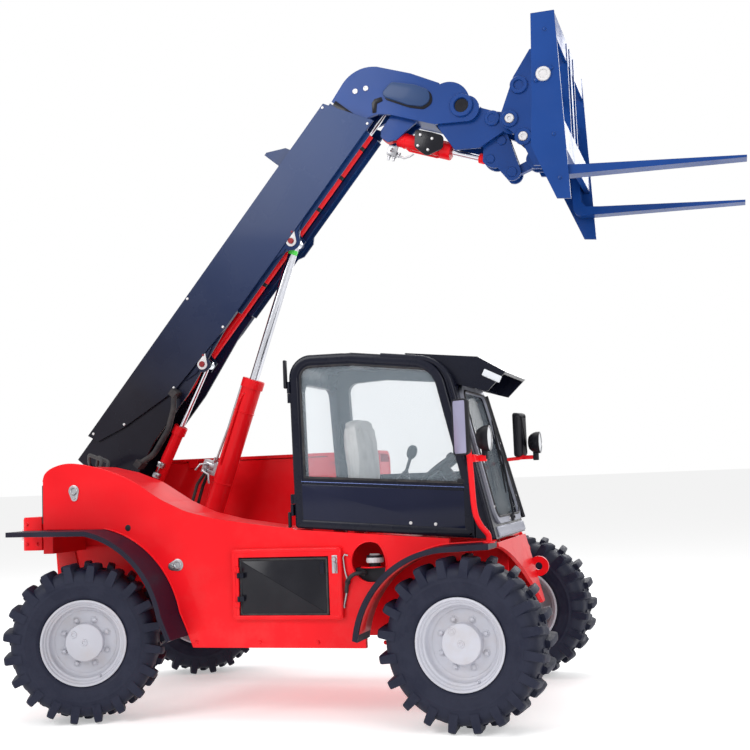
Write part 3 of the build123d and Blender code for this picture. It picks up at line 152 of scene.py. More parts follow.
def paint(name, colour, rough, coat, dust, worn=(0.25, 0.23, 0.22), shine=0.22):
    """Sprayed paint: slight colour drift, orange peel, dust low down and a few rubbed spots."""
    spread = 0.12  # how far the colour drifts, darker and lighter
    g = Graph(name)
    drift = g.ramp(g.noise(1.7, 2.0), 0.3, 0.7, -spread, spread)
    light = tuple(min(1.0, c * (1 + spread) + 0.004) for c in colour)
    deep = tuple(c * (1 - spread) for c in colour)
    base = g.mix(g.ramp(drift, -spread, spread), deep, light)
    patches = g.ramp(g.noise(5.0, 6.0, rough=0.7), 0.48, 0.78)
    low_down = g.ramp(g.axis("Z"), 0.35, 1.25, 1.0, 0.12)
    dusty = g.math("MULTIPLY", g.math("MULTIPLY", patches, low_down), dust)
    base = g.mix(dusty, base, (0.42, 0.35, 0.3))
    spots = g.ramp(g.noise(38.0, 5.0, rough=0.8), 0.735, 0.75)
    base = g.mix(g.math("MULTIPLY", spots, 0.35), base, worn)
    dull = g.math("ADD", g.ramp(patches, 0, 1, rough, rough + 0.16), g.math("MULTIPLY", dusty, 0.3))
    g.set(Base_Color=base, Roughness=dull)
    g.set(Coat_Weight=coat, Coat_Roughness=0.08, Specular_IOR_Level=shine)
    g.bump(g.noise(420.0, 2.0), 0.12, 0.0006, EDGE)


def rubber(name, colour, amount, rough, dusty=(0.3, 0.27, 0.25), grain=0.0012):
    """Rubber with dusty patches, amount of them, and a fine grain."""
    g = Graph(name)
    patches = g.ramp(g.noise(9.0, 8.0, rough=0.72), 0.42, 0.74)
    base = g.mix(g.math("MULTIPLY", patches, amount), colour, dusty)
    g.set(Base_Color=base, Roughness=g.ramp(patches, 0, 1, rough, 0.95), Specular_IOR_Level=0.28)
    g.bump(g.noise(160.0, 4.0), 0.35, grain)


def metal(name, colour, rough, metallic=1.0, streak=0.08):
    """Bare metal with darker stains, its dullness varying by the streak."""
    g = Graph(name)
    lines = g.noise(90.0, 4.0)
    stain = g.ramp(g.noise(6.0, 6.0, rough=0.7), 0.45, 0.8)
    base = g.mix(g.math("MULTIPLY", stain, 0.35), colour, tuple(c * 0.6 for c in colour))
    g.set(
        Base_Color=base, Roughness=g.ramp(lines, 0.3, 0.7, rough - streak, rough + streak),
        Metallic=metallic,
    )
    g.bump(lines, 0.15, 0.0003)


def plastic(name, colour, rough):
    """Moulded plastic with a fine grain and slightly faded patches."""
    g = Graph(name)
    drift = g.ramp(g.noise(4.0, 5.0), 0.4, 0.7)
    base = g.mix(g.math("MULTIPLY", drift, 0.25), colour, tuple(min(1, c * 1.6 + 0.02) for c in colour))
    g.set(Base_Color=base, Roughness=g.ramp(drift, 0, 1, rough, rough + 0.12), Specular_IOR_Level=0.22)
    g.bump(g.noise(260.0, 2.0), 0.3, 0.0004)


def glass(name, tint=(0.62, 0.74, 0.84), alpha=0.11):
    """Thin tinted glass: mostly see-through, with its gloss."""
    g = Graph(name)
    g.set(Base_Color=tint, Roughness=0.02, Alpha=alpha, IOR=1.45, Specular_IOR_Level=0.5)


def fabric(name, colour):
    """A soft cover whose colour darkens in patches, a painted shade of slight folds."""
    g = Graph(name)
    folds = g.noise(14.0, 5.0)
    # darker where the noise is high: painted shade of folds
    base = g.mix(g.ramp(folds, 0.3, 0.7), colour, tuple(c * 0.78 for c in colour))
    g.set(Base_Color=base, Roughness=0.7, Sheen_Weight=0.3)
    g.bump(g.noise(900.0, 2.0), 0.4, 0.0008)


def boom_paint():
    """Near-black at the boom's foot, turning to deep blue towards its head."""
    g = Graph("boom_paint")
    c, s = math.cos(BOOM_ANGLE), math.sin(BOOM_ANGLE)
    pin = at(PIVOT[0], 0, PIVOT[1])
    start = pin.x * c + pin.z * s
    run = g.math("ADD", g.math("MULTIPLY", g.axis("X"), c), g.math("MULTIPLY", g.axis("Z"), s))
    share = g.ramp(run, start + 0.6, start + 3.1)
    base = g.mix(share, (0.005, 0.004, 0.01), (0.005, 0.036, 0.15))
    haze = g.ramp(g.noise(2.5, 5.0), 0.35, 0.75)
    base = g.mix(g.math("MULTIPLY", haze, 0.025), base, (0.2, 0.22, 0.3))
    g.set(
        Base_Color=base, Roughness=g.ramp(haze, 0, 1, 0.24, 0.36), Coat_Weight=0.1, Coat_Roughness=0.08,
    )
    g.set(Specular_IOR_Level=0.16)
    g.bump(g.noise(420.0, 2.0), 0.1, 0.0005, EDGE)


RED = (0.76, 0.005, 0.011)
paint("body_red", RED, rough=0.3, coat=0.1, dust=0.08, shine=0.11)
paint("dark_red", (0.22, 0.006, 0.01), rough=0.5, coat=0.1, dust=0.5)
boom_paint()
paint("head_blue", (0.003, 0.04, 0.2), rough=0.3, coat=0.1, dust=0.04, shine=0.16)
paint("chassis_black", (0.008, 0.008, 0.016), rough=0.45, coat=0.0, dust=0.3, shine=0.15)
paint("cab_paint", (0.002, 0.003, 0.011), rough=0.26, coat=0.1, dust=0.04, shine=0.14)
plastic("fender_plastic", (0.006, 0.005, 0.016), rough=0.42)
plastic("black_plastic", (0.006, 0.006, 0.01), rough=0.45)
# the tyre's navy tint is a painted blue sheen on black rubber
rubber("tyre", (0.003, 0.005, 0.02), amount=0.24, rough=0.52, dusty=(0.085, 0.09, 0.12))
paint("wheel_white", (0.47, 0.475, 0.53), rough=0.36, coat=0.1, dust=0.45, worn=(0.3, 0.25, 0.2))
metal("rod_chrome", (0.62, 0.63, 0.68), rough=0.16, streak=0.05)
metal("steel", (0.4, 0.4, 0.42), rough=0.34)
glass("glass")
glass("lamp_glass", (0.95, 0.96, 0.98), 0.55)
fabric("seat_cover", (0.62, 0.6, 0.58))
rubber("hose_rubber", (0.01, 0.01, 0.014), amount=0.2, rough=0.5, grain=0.0004)
metal("screen_grey", (0.3, 0.31, 0.37), rough=0.45, metallic=0.55)
plastic("fender_lip", (0.006, 0.005, 0.014), rough=0.26)
# body red darkened as painted shade, for the liners and plates inside the wheel arches
paint("shaded_liner_red", (0.45, 0.008, 0.01), rough=0.45, coat=0.05, dust=0.3)
plastic("gloss_black", (0.006, 0.006, 0.01), rough=0.16)
plastic("cap_white", (0.58, 0.58, 0.6), rough=0.35)
paint("head_pad", (0.016, 0.045, 0.13), rough=0.35, coat=0.1, dust=0.05)
plastic("lamp_red", (0.55, 0.01, 0.008), rough=0.15)
paint("gloss_navy", (0.002, 0.004, 0.022), rough=0.12, coat=0.14, dust=0.02, shine=0.14)
# light blue for the door's belt line: a painted highlight
metal("belt_highlight_blue", (0.1, 0.14, 0.34), rough=0.25, metallic=0.5)
metal("mirror", (0.3, 0.29, 0.42), rough=0.22, metallic=0.4, streak=0.03)
plastic("lamp_white", (0.62, 0.64, 0.68), rough=0.12)
metal("pin_white", (0.58, 0.57, 0.58), rough=0.4, metallic=0.5)
plastic("lamp_green", (0.1, 0.75, 0.1), rough=0.3)

for entry in frame["record"]["subparts"]:
    shown = nodes[entry["node"]]
    shown.data.materials.clear()
    shown.data.materials.append(MATERIALS[entry["material_slot"]])

# ---------------------------------------------------------------- shapes


def frame_of(origin, axis, up=(0, 0, 1)):
    """A matrix with local Z along axis and local X near up."""
    z = Vector(axis).normalized()
    x = Vector(up) - z * Vector(up).dot(z)
    if x.length < 1e-4:
        x = Vector((1, 0, 0)) - z * z.x
    x.normalize()
    return Matrix.Translation(origin) @ Matrix((x, z.cross(x), z)).transposed().to_4x4()


def rounded(points, radii, steps=6):
    """A closed outline with its corners turned into arcs."""
    out = []
    count = len(points)
    for i, p in enumerate(points):
        r = radii[i] if isinstance(radii, (list, tuple)) else radii
        p, a, b = Vector(p), Vector(points[i - 1]), Vector(points[(i + 1) % count])
        to_a, to_b = (a - p).normalized(), (b - p).normalized()
        half = to_a.angle(to_b) / 2
        if r <= 0 or abs(half - math.pi / 2) < 0.02:
            out.append(p)
            continue
        reach = r / math.tan(half)
        start, end = p + to_a * reach, p + to_b * reach
        centre = p + (to_a + to_b).normalized() * (r / math.sin(half))
        for k in range(steps + 1):
            t = k / steps
            arm = (start - centre).lerp(end - centre, t).normalized() * r
            out.append(centre + arm)
    return out


def inset(points, amount):
    """A closed outline moved inwards, towards its left if it runs anticlockwise."""
    count = len(points)
    area = sum(
        points[i - 1][0] * points[i][1] - points[i][0] * points[i - 1][1] for i in range(count)
    )
    sign = 1 if area > 0 else -1
    out = []
    for i, p in enumerate(points):
        before = (Vector(p) - Vector(points[i - 1])).normalized()
        after = (Vector(points[(i + 1) % count]) - Vector(p)).normalized()
        n1, n2 = Vector((-before.y, before.x)) * sign, Vector((-after.y, after.x)) * sign
        n = n1 + n2
        n = n / max(0.3, n.dot(n1)) if n.length > 1e-6 else n1
        out.append(Vector(p) + n * amount)
    return out


def smooth_path(points, per):
    """Points along a smooth curve through the given ones."""
    pts = [Vector(p) for p in points]
    pts = [pts[0] * 2 - pts[1]] + pts + [pts[-1] * 2 - pts[-2]]
    out = []
    for a, b, c, d in zip(pts, pts[1:], pts[2:], pts[3:]):
        for k in range(per):
            t = k / per
            bend, twist = 2 * a - 5 * b + 4 * c - d, 3 * b - a - 3 * c + d
            out.append(0.5 * (2 * b + (c - a) * t + bend * t * t + twist * t ** 3))
    out.append(pts[-2])
    return out


def add_object(name, data):
    """Puts new data in the scene as an object."""
    made = bpy.data.objects.new(name, data)
    bpy.context.scene.collection.objects.link(made)
    return made


def round_edges(bm, edges, r, segments):
    """Rounds some edges of a mesh."""
    bmesh.ops.bevel(bm, geom=edges, offset=r, segments=segments, affect="EDGES", profile=0.5)


class Shape:
    """One piece's mesh, put together from simple forms; most calls can be chained."""

    def __init__(self):
        self.bm = bmesh.new()

    def take(self, other, matrix=None):
        """Adds another bmesh, moved by the matrix."""
        if matrix is not None:
            other.transform(matrix)
            if matrix.determinant() < 0:
                bmesh.ops.reverse_faces(other, faces=other.faces)
        spare = bpy.data.meshes.new("spare")
        other.to_mesh(spare)
        self.bm.from_mesh(spare)
        bpy.data.meshes.remove(spare)
        other.free()
        return self

    def skin(self, rings, closed=True, caps=True):
        """Skins a list of rings of points, as a mesh of its own."""
        bm = bmesh.new()
        rows = [[bm.verts.new(p) for p in ring] for ring in rings]
        count = len(rows[0])
        last = count if closed else count - 1
        for low, high in zip(rows, rows[1:]):
            for i in range(last):
                j = (i + 1) % count
                bm.faces.new((low[i], low[j], high[j], high[i]))
        if caps and closed:
            bm.faces.new(list(reversed(rows[0])))
            bm.faces.new(rows[-1])
        bmesh.ops.recalc_face_normals(bm, faces=bm.faces)
        return bm

    def lathe(self, profile, matrix, segments, closed=False):
        """Turns (radius, height) points about the matrix's local Z."""
        bm = bmesh.new()
        rows = []
        for r, h in profile:
            if r < 1e-6:
                rows.append([bm.verts.new((0, 0, h))])
                continue
            rows.append([
                bm.verts.new((r * math.cos(t), r * math.sin(t), h))
                for t in (2 * math.pi * k / segments for k in range(segments))
            ])
        pairs = list(zip(rows, rows[1:]))
        if closed:
            pairs.append((rows[-1], rows[0]))
        for low, high in pairs:
            for k in range(segments):
                j = (k + 1) % segments
                corners = [
                    low[k % len(low)], low[j % len(low)], high[j % len(high)], high[k % len(high)],
                ]
                corners = [v for i, v in enumerate(corners) if v not in corners[:i]]
                if len(corners) > 2:
                    bm.faces.new(corners)
        bmesh.ops.recalc_face_normals(bm, faces=bm.faces)
        return self.take(bm, matrix)

    def plate(self, outline, thick, matrix, bevel, segments=2):
        """A flat plate on the matrix's local XY, standing up along its Z, its upper edges rounded."""
        bm = bmesh.new()
        face = bm.faces.new([bm.verts.new((p[0], p[1], 0)) for p in outline])
        made = bmesh.ops.extrude_face_region(bm, geom=[face])
        top = [v for v in made["geom"] if isinstance(v, bmesh.types.BMVert)]
        bmesh.ops.translate(bm, verts=top, vec=(0, 0, thick))
        bmesh.ops.recalc_face_normals(bm, faces=bm.faces)
        edges = [e for e in bm.edges if all(abs(v.co.z - thick) < 1e-7 for v in e.verts)]
        round_edges(bm, edges, bevel, segments)
        return self.take(bm, matrix)

    def box(self, size, matrix, bevel, segments=2):
        """A box about the matrix's origin, its edges rounded."""
        bm = bmesh.new()
        bmesh.ops.create_cube(bm, size=1.0)
        bmesh.ops.scale(bm, vec=size, verts=bm.verts)
        round_edges(bm, bm.edges[:], bevel, segments)
        return self.take(bm, matrix)

    def tube(self, path, r, segments):
        """A round tube along points; r may be one radius or one for each point."""
        path = [Vector(p) for p in path]
        radii = r if isinstance(r, (list, tuple)) else [r] * len(path)
        rings = []
        normal = None
        for i, p in enumerate(path):
            ahead = (path[min(i + 1, len(path) - 1)] - path[max(i - 1, 0)]).normalized()
            if normal is None:
                normal = ahead.orthogonal().normalized()
            normal = (normal - ahead * normal.dot(ahead)).normalized()
            side = ahead.cross(normal)
            rings.append([
                p + (normal * math.cos(t) + side * math.sin(t)) * radii[i]
                for t in (2 * math.pi * k / segments for k in range(segments))
            ])
        return self.take(self.skin(rings))

    def bolt(self, place, axis, r, high, washer=1.45):
        """A hexagon head on a washer."""
        matrix = frame_of(place, axis)
        edge, foot = r * washer, high * 0.26
        self.lathe([(0, 0), (edge, 0), (edge, high * 0.18), (edge * 0.94, foot), (0, foot)], matrix, 20)
        bm = bmesh.new()
        bmesh.ops.create_cone(bm, cap_ends=True, segments=6, radius1=r, radius2=r, depth=high)
        bmesh.ops.translate(bm, verts=bm.verts, vec=(0, 0, foot + high / 2))
        edges = [e for e in bm.edges if all(v.co.z > high for v in e.verts)]
        round_edges(bm, edges, r * 0.12, 2)
        return self.take(bm, matrix)

    def bead(self, outline, y, width, high):
        """A half-round bead along a closed outline of stations and heights, on a wall facing right."""
        profile = [
            (0, -0.001), (0.04, 0.45), (0.18, 0.82), (0.5, 1.0), (0.82, 0.82), (0.96, 0.45), (1, -0.001),
        ]
        rows = []
        for share, height in profile:
            side = y - high * height if height > 0 else y
            rows.append([at(p.x, side, p.y) for p in inset([Vector(p) for p in outline], width * share)])
        return self.take(self.skin(rows, caps=False))

    def done(self, name, material, body="chassis", slot=None, angle=35, replaces=()):
        """Makes the object in its paint and on its body; the slot argument is not used."""
        mesh = bpy.data.meshes.new(name)
        self.bm.to_mesh(mesh)
        self.bm.free()
        mesh.shade_smooth()
        mesh.set_sharp_from_angle(angle=math.radians(angle))
        mesh.materials.append(MATERIALS[material])
        shown = add_object(name, mesh)
        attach(shown, body)
        if replaces:
            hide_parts(*replaces)
        return shown


def wall(y, out=-1):
    """A matrix whose local X is the station, local Y the height, and local Z points out of the side."""
    turn = Matrix(((1, 0, 0), (0, 0, out), (0, 1, 0)))
    return Matrix.Translation((DATUM, y, 0)) @ turn.to_4x4()


def on_wall(y, x, z):
    """The same for a wall facing right, moved to a station and a height."""
    return wall(y) @ Matrix.Translation((x, z, 0))


def upright(x, y, z, lean=0.0):
    """A matrix at a station, a side and a height, leaning forward by degrees."""
    return Matrix.Translation(at(x, y, z)) @ Matrix.Rotation(math.radians(lean), 4, "Y")


def oblong(x0, z0, x1, z1, r, steps=6):
    """A rectangle's outline with rounded corners."""
    return rounded([(x0, z0), (x1, z0), (x1, z1), (x0, z1)], r, steps)


def ring_of(count, start=0.0):
    """Evenly spaced angles of a full turn."""
    return [2 * math.pi * (k + start) / count for k in range(count)]


# ---------------------------------------------------------------- wheels

LUGS = 20  # on each side, the two sides staggered by half a lug
TREAD = [  # right half of the carcass: radius, distance from the middle
    (0.2132, 0.098), (0.2165, 0.107), (0.227, 0.1195), (0.238, 0.129), (0.244, 0.1335), (0.2475, 0.1362),
    (0.2505, 0.1365), (0.2535, 0.1372), (0.27, 0.1425), (0.285, 0.1462), (0.2985, 0.148),
    (0.3005, 0.149),
    (0.3045, 0.149), (0.3065, 0.1482), (0.32, 0.1484), (0.334, 0.1466), (0.348, 0.1415), (0.36, 0.1335),
    (0.371, 0.1235), (0.379, 0.112), (0.384, 0.097), (0.387, 0.075), (0.3885, 0.04), (0.389, 0.0),
]
LUG_Y = (-0.006, 0.02, 0.052, 0.086, 0.118, 0.138, 0.1505)  # a lug's cross-sections, from the middle out
LUG_RUN = 0.157  # over which a lug widens outwards
LUG_TOP, LUG_FOOT = 0.4183, 0.372  # radii


def lug_section(y):
    """One cross-section of a lug at a distance from the tyre's middle: (along the tread, radius)."""
    share = max(0.0, (y - LUG_Y[0]) / LUG_RUN)
    left, right = -0.024 + 0.018 * share ** 1.35, 0.012 + 0.022 * share ** 1.35
    top = LUG_TOP - 0.0045 * max(0.0, (share - 0.72) / 0.28) ** 2
    if y in (LUG_Y[0], LUG_Y[-1]):
        top, left, right = top - 0.006, left + 0.002, right - 0.002
    foot = LUG_FOOT if y < 0.1 else LUG_FOOT - 0.05 * ((y - 0.1) / 0.05) ** 1.5
    middle = foot + 0.55 * (top - foot)
    flank = (
        (-0.006, foot), (-0.0028, middle), (-0.0006, top - 0.006), (0.0016, top - 0.0016), (0.006, top),
    )
    return (
        [(left + d, r) for d, r in flank]
        + [((left + right) / 2, top + 0.0006)]
        + [(right - d, r) for d, r in reversed(flank)]
    )


RIB_RADIUS, RIB_Y = 0.3895, 0.055


def tyre(name, matrix, mirrored, body, node):
    """Carcass and lugs; local Z is the wheel's axis, pointing outboard, and local X is up."""
    shape = Shape()
    profile = TREAD + [(r, -y) for r, y in reversed(TREAD[:-1])]
    profile += [(0.2128, -0.06), (0.2128, 0.06)]
    shape.lathe(profile, Matrix.Identity(4), 160, closed=True)
    about_z = Matrix(((1, 0, 0), (0, 0, -1), (0, 1, 0))).to_4x4()
    for k in range(2 * LUGS):
        hand = 1 if k % 2 else -1
        turn = math.pi / LUGS * k
        ray = Vector((math.cos(turn), 0, math.sin(turn)))
        tangent = Vector((-ray.z, 0, ray.x))
        rings = []
        for y in LUG_Y:
            spots = [ray * r + tangent * x for x, r in lug_section(y)]
            rings.append([Vector((p.x, -hand * y, p.z)) for p in spots])
        bm = shape.skin(rings)
        bmesh.ops.transform(bm, matrix=about_z, verts=bm.verts)
        bmesh.ops.recalc_face_normals(bm, faces=bm.faces)
        shape.take(bm)
    # small moulded ribs between the lugs
    for turn in ring_of(LUGS, 0.25):
        for y in (-RIB_Y, RIB_Y):
            m = Matrix.Rotation(turn, 4, "Z") @ Matrix.Translation((RIB_RADIUS, 0, y))
            shape.box((0.01, 0.02, 0.03), m, 0.002)
    flip = Matrix.Rotation(math.pi, 4, "X") if mirrored else Matrix.Identity(4)
    shape.bm.transform(matrix @ flip)
    shape.done(name, "tyre", body, angle=38, replaces=(node,))


RIM = [  # outboard face from the axis to the flange, then the barrel and the inboard side
    (0, 0.1004), (0.093, 0.1004), (0.0962, 0.0992), (0.0985, 0.0962), (0.0996, 0.056), (0.1006, 0.0524),
    (0.1045, 0.0508), (0.1625, 0.0508), (0.164, 0.0496), (0.1655, 0.0508), (0.168, 0.0516),
    (0.176, 0.056),
    (0.1812, 0.0625), (0.1836, 0.072), (0.1844, 0.088), (0.1858, 0.0945), (0.1886, 0.0978),
    (0.195, 0.099),
    (0.1968, 0.1004), (0.1984, 0.104), (0.2002, 0.111), (0.203, 0.1142), (0.2085, 0.115),
    (0.2104, 0.1175),
    (0.2122, 0.1248), (0.2148, 0.128), (0.219, 0.129), (0.2238, 0.1288), (0.2257, 0.1272),
    (0.226, 0.124),
    (0.225, 0.1195), (0.2128, 0.104), (0.2128, -0.104), (0.225, -0.1195), (0.226, -0.125),
    (0.223, -0.129),
    (0.215, -0.129), (0.202, -0.114), (0.188, -0.094), (0.1862, -0.058), (0.1862, 0.03), (0.18, 0.035),
    (0, 0.035),
]
NUTS, NUT_CIRCLE, NUT_SEAT = 8, 0.122, 0.0506  # how many, radius, distance outboard
HUB_FACE = 0.1002
VALVE_TURN, VALVE_RADIUS = math.radians(205), 0.19


def rim(name, matrix, body, node, plug):
    """The disc and barrel with nuts, plugs and valve; plug is where the filler plug sits on the hub."""
    shape = Shape()
    shape.lathe(RIM, matrix, 128)
    axis = matrix.to_3x3() @ Vector((0, 0, 1))
    # wheel nuts on tapered seats, each with its stud's end
    for t in ring_of(NUTS, 0.5):
        spot = matrix @ Vector((NUT_CIRCLE * math.cos(t), NUT_CIRCLE * math.sin(t), NUT_SEAT))
        m = frame_of(spot, axis)
        shape.lathe([(0, 0), (0.0185, 0), (0.0175, 0.0022), (0.014, 0.003), (0, 0.003)], m, 24)
        shape.bolt(spot + axis * 0.0026, axis, 0.0118, 0.0085, 1.12)
        shape.lathe([(0.0068, 0.008), (0.0068, 0.013), (0.0056, 0.0142), (0, 0.0142)], m, 14)
    # centre plug and the offset filler plug, each a ring round a recess
    ring = [
        (1, -0.002), (1, 0.0022), (0.88, 0.0036), (0.66, 0.0036), (0.58, 0.0026), (0.5, -0.001),
        (0, -0.001),
    ]
    for x, y, r in ((0.0, 0.0, 0.0175), (*plug, 0.018)):
        shape.lathe(
            [(r * share, h) for share, h in ring], matrix @ Matrix.Translation((x, y, HUB_FACE)), 28,
        )
    # valve stem through the ring
    m = matrix @ Matrix.Rotation(VALVE_TURN, 4, "Z") @ Matrix.Translation((VALVE_RADIUS, 0, 0.097))
    stem = [(0.0075, 0), (0.0072, 0.008), (0.0045, 0.011), (0.0045, 0.024), (0.0036, 0.026), (0, 0.026)]
    shape.lathe(stem, m, 14)
    shape.done(name, "wheel_white", body, angle=30, replaces=(node,))


WHEEL_OUT = 0.09  # from the place of a wheel's joint to its tyre's middle


def wheels():
    """A dressed tyre and rim at each corner, in place of the plain ones."""
    rolls = {j["name"]: j for j in frame["joints"]}
    for corner, hand in (("front_right", -1), ("front_left", 1), ("rear_right", -1), ("rear_left", 1)):
        joint = rolls[f"{corner}_roll"]
        out = Vector(joint["axis"]).normalized() * hand
        centre = Vector(joint["pos_m"]) + out * WHEEL_OUT
        up = Vector((0, 0, 1))
        # local X up, local Z outboard
        matrix = Matrix.Translation(centre) @ Matrix((up, out.cross(up), out)).transposed().to_4x4()
        plug = (0.06, 0.044) if corner.startswith("front") else (0.044, 0.056)
        tyre(f"tyre_{corner}_treaded", matrix, hand < 0, f"wheel_{corner}", f"tyre_{corner}")
        rim(f"rim_{corner}_detail", matrix, f"wheel_{corner}", f"rim_{corner}", plug)


# ---------------------------------------------------------------- body

REAR_X, FRONT_X = -0.032, 2.101  # axle stations
PANEL_Y, FENDER_Y = 0.72, 0.93  # outer faces of the body's panels and of the fenders
WELL_Y = 0.352  # where the plates inside the rear wheels' wells stand
LID_Y = 0.738  # outer face of the side box's lid
LAMPS_X = -0.5  # station of the rear lamps' faces


def arc_points(a, b, c, steps):
    """Points on the arc through three points of a plane."""
    ax, ay, bx, by, cx, cy = *a, *b, *c
    d = 2 * (ax * (by - cy) + bx * (cy - ay) + cx * (ay - by))
    aa, bb, cc = ax * ax + ay * ay, bx * bx + by * by, cx * cx + cy * cy
    ux = (aa * (by - cy) + bb * (cy - ay) + cc * (ay - by)) / d
    uy = (aa * (cx - bx) + bb * (ax - cx) + cc * (bx - ax)) / d
    centre = Vector((ux, uy))
    r = (Vector(a) - centre).length
    first, middle, last = (math.atan2(p[1] - uy, p[0] - ux) for p in (a, b, c))
    span = (last - first) % (2 * math.pi)
    if (middle - first) % (2 * math.pi) > span:
        span -= 2 * math.pi
    turns = [first + span * k / steps for k in range(steps + 1)]
    return [Vector((ux + r * math.cos(t), uy + r * math.sin(t))) for t in turns]


def fender_lines():
    """Top lines of the two fenders on the right, from back to front."""
    rear = [Vector((-0.4, 1.013))] + arc_points(
        (REAR_X + 0.112, 1.008), (REAR_X + 0.386, 0.865), (REAR_X + 0.552, 0.56), 20,
    )
    rear += [Vector((REAR_X + 0.604, 0.44))]
    front = [Vector((FRONT_X - 0.549, 0.44))]
    front += arc_points(
        (FRONT_X - 0.549, 0.44), (FRONT_X - 0.391, 0.752), (FRONT_X - 0.091, 0.885), 20,
    )[1:]
    return rear, front


def offset_line(points, amount):
    """An open line moved to its right."""
    out = []
    for i, p in enumerate(points):
        run = (points[min(i + 1, len(points) - 1)] - points[max(i - 1, 0)]).normalized()
        out.append(p + Vector((run.y, -run.x)) * amount)
    return out


def fenders():
    """Rolled lips on the flares' outer edges, bright edges where they meet the body, and red liners in a darker
    red that is painted shade inside the arches.
    """
    rear, front = fender_lines()
    for name, hand, line in (
        ("rear", -1, rear), ("front", -1, front), ("rear", 1, rear), ("front", 1, front),
    ):
        path = list(line)
        if name == "front":
            nose = (0.149, 0.895) if hand < 0 else (-0.031, 0.888)
            path.append(Vector((FRONT_X + nose[0] - 0.002, nose[1])))
        tag = f"{name}_{'right' if hand < 0 else 'left'}"
        lip = [at(p.x, hand * FENDER_Y - hand * 0.0125, p.y) for p in offset_line(path, 0.0145)]
        Shape().tube(lip, 0.0128, 14).done(
            f"fender_lip_{tag}", "fender_lip", slot="fender_plastic", angle=60,
        )
        liner = Shape()
        inner = offset_line(path, 0.0275)
        inner = inner[1:-1] if name == "rear" else inner[1:]
        rings = [[at(p.x, hand * y, p.y) for y in (0.7215, 0.912)] for p in inner]
        liner.take(liner.skin(rings, closed=False, caps=False))
        made = liner.done(f"fender_liner_{tag}", "shaded_liner_red", slot="body_red", angle=60)
        thick = made.modifiers.new("thick", "SOLIDIFY")
        thick.thickness = 0.002
        thick.offset = 0
        # bright rolled edge of the body where the flare starts
        edge = [at(p.x, hand * (PANEL_Y + 0.0025), p.y) for p in offset_line(path, -0.0045)[1:]]
        Shape().tube(edge, 0.0042, 10).done(f"arch_edge_{tag}", "body_red", angle=60)


def lashing_eyes():
    """A keyhole plate with its rolled rim round each hole of the hump panel, and black discs as painted shade in
    the holes.
    """
    eyes, dark = Shape(), Shape()
    for (x, z), lean in (((-0.104, 1.223), 95), ((0.519, 0.809), 12)):
        centre = Vector((x, z))
        turn = math.radians(lean - 180)
        tip = centre + Vector((math.cos(turn), math.sin(turn))) * 0.036
        outline = []
        for t in ring_of(40):
            d = Vector((math.cos(t), math.sin(t)))
            outline.append(centre + d * 0.032 if d.dot(tip - centre) < 0.01 else tip + d * 0.021)
        eyes.plate(outline, 0.004, wall(-PANEL_Y), 0.0012)
        rim = [
            (0.0135, -0.02), (0.0135, 0.0035), (0.016, 0.0058), (0.0205, 0.0058), (0.0235, 0.003),
            (0.0245, 0),
        ]
        eyes.lathe(rim, on_wall(-PANEL_Y - 0.004, x, z), 36)
        dome = [(0, 0.0015), (0.006, 0.003), (0.01, 0.0026), (0.012, 0)]
        eyes.lathe(dome, on_wall(-PANEL_Y - 0.004, tip.x, tip.y), 20)
        # black discs: painted shade inside the holes
        dark.lathe([(0.0133, -0.012), (0, -0.012)], on_wall(-PANEL_Y, x, z), 32)
    dark.lathe(
        [(0, 0.0012), (0.015, 0.0012), (0.017, 0.0005), (0.0175, 0)], on_wall(-PANEL_Y, 0.225, 1.012),
        32,
    )
    eyes.done("lashing_eyes", "steel")
    dark.done("hump_hole_shades", "black_plastic")


def hump_trim():
    """A dark strip down the hump's rear edge and the rolled top edge."""
    strip = Shape().box((0.016, 0.04, 0.215), upright(-0.305, -0.693, 1.153), 0.006, 3)
    strip.done("hump_rear_strip", "hose_rubber")
    crest = [
        (-0.3, 1.285), (-0.285, 1.325), (-0.24, 1.355), (-0.158, 1.374), (-0.06, 1.367), (0.091, 1.331),
        (0.243, 1.271), (0.421, 1.16), (0.568, 1.092), (0.742, 1.048), (0.998, 1.008), (1.18, 0.986),
    ]
    path = smooth_path([at(x, -PANEL_Y + 0.0052, z - 0.0045) for x, z in crest], 5)
    Shape().tube(path, 0.0055, 10).done("hump_edge", "body_red", angle=60)


def side_box():
    """Rounded frame, dark lid with its raised border, latch and strap."""
    outer = oblong(0.842, 0.524, 1.446, 0.885, 0.026)
    Shape().bead(outer, -0.7435, 0.02, 0.0045).done("side_box_edge", "body_red", angle=50)
    face = oblong(0.884, 0.543, 1.372, 0.836, 0.012)
    panel = Shape().plate(inset(face, 0.012), 0.0035, wall(-LID_Y), 0.0014)
    panel.done("side_box_panel", "gloss_black", "side_box_lid", "cab_paint")
    Shape().bead(face, -0.7378, 0.012, 0.005).done(
        "side_box_seal", "hose_rubber", "side_box_lid", angle=60,
    )
    m = on_wall(-0.744, 1.412, 0.8)
    latch = Shape().box((0.03, 0.092, 0.006), m, 0.0028, 3)
    knob = [(0.0125, 0), (0.0125, 0.01), (0.0105, 0.013), (0.006, 0.0135), (0, 0.0115)]
    latch.lathe(knob, m @ Matrix.Translation((0, 0.026, 0.002)), 28)
    strap = [(0.008, 0.01, 0.006), (0.008, 0.006, 0.015), (0.007, -0.034, 0.016), (0.006, -0.04, 0.006)]
    latch.tube([m @ Vector(p) for p in strap], 0.0042, 10)
    latch.done("side_box_latch", "steel")


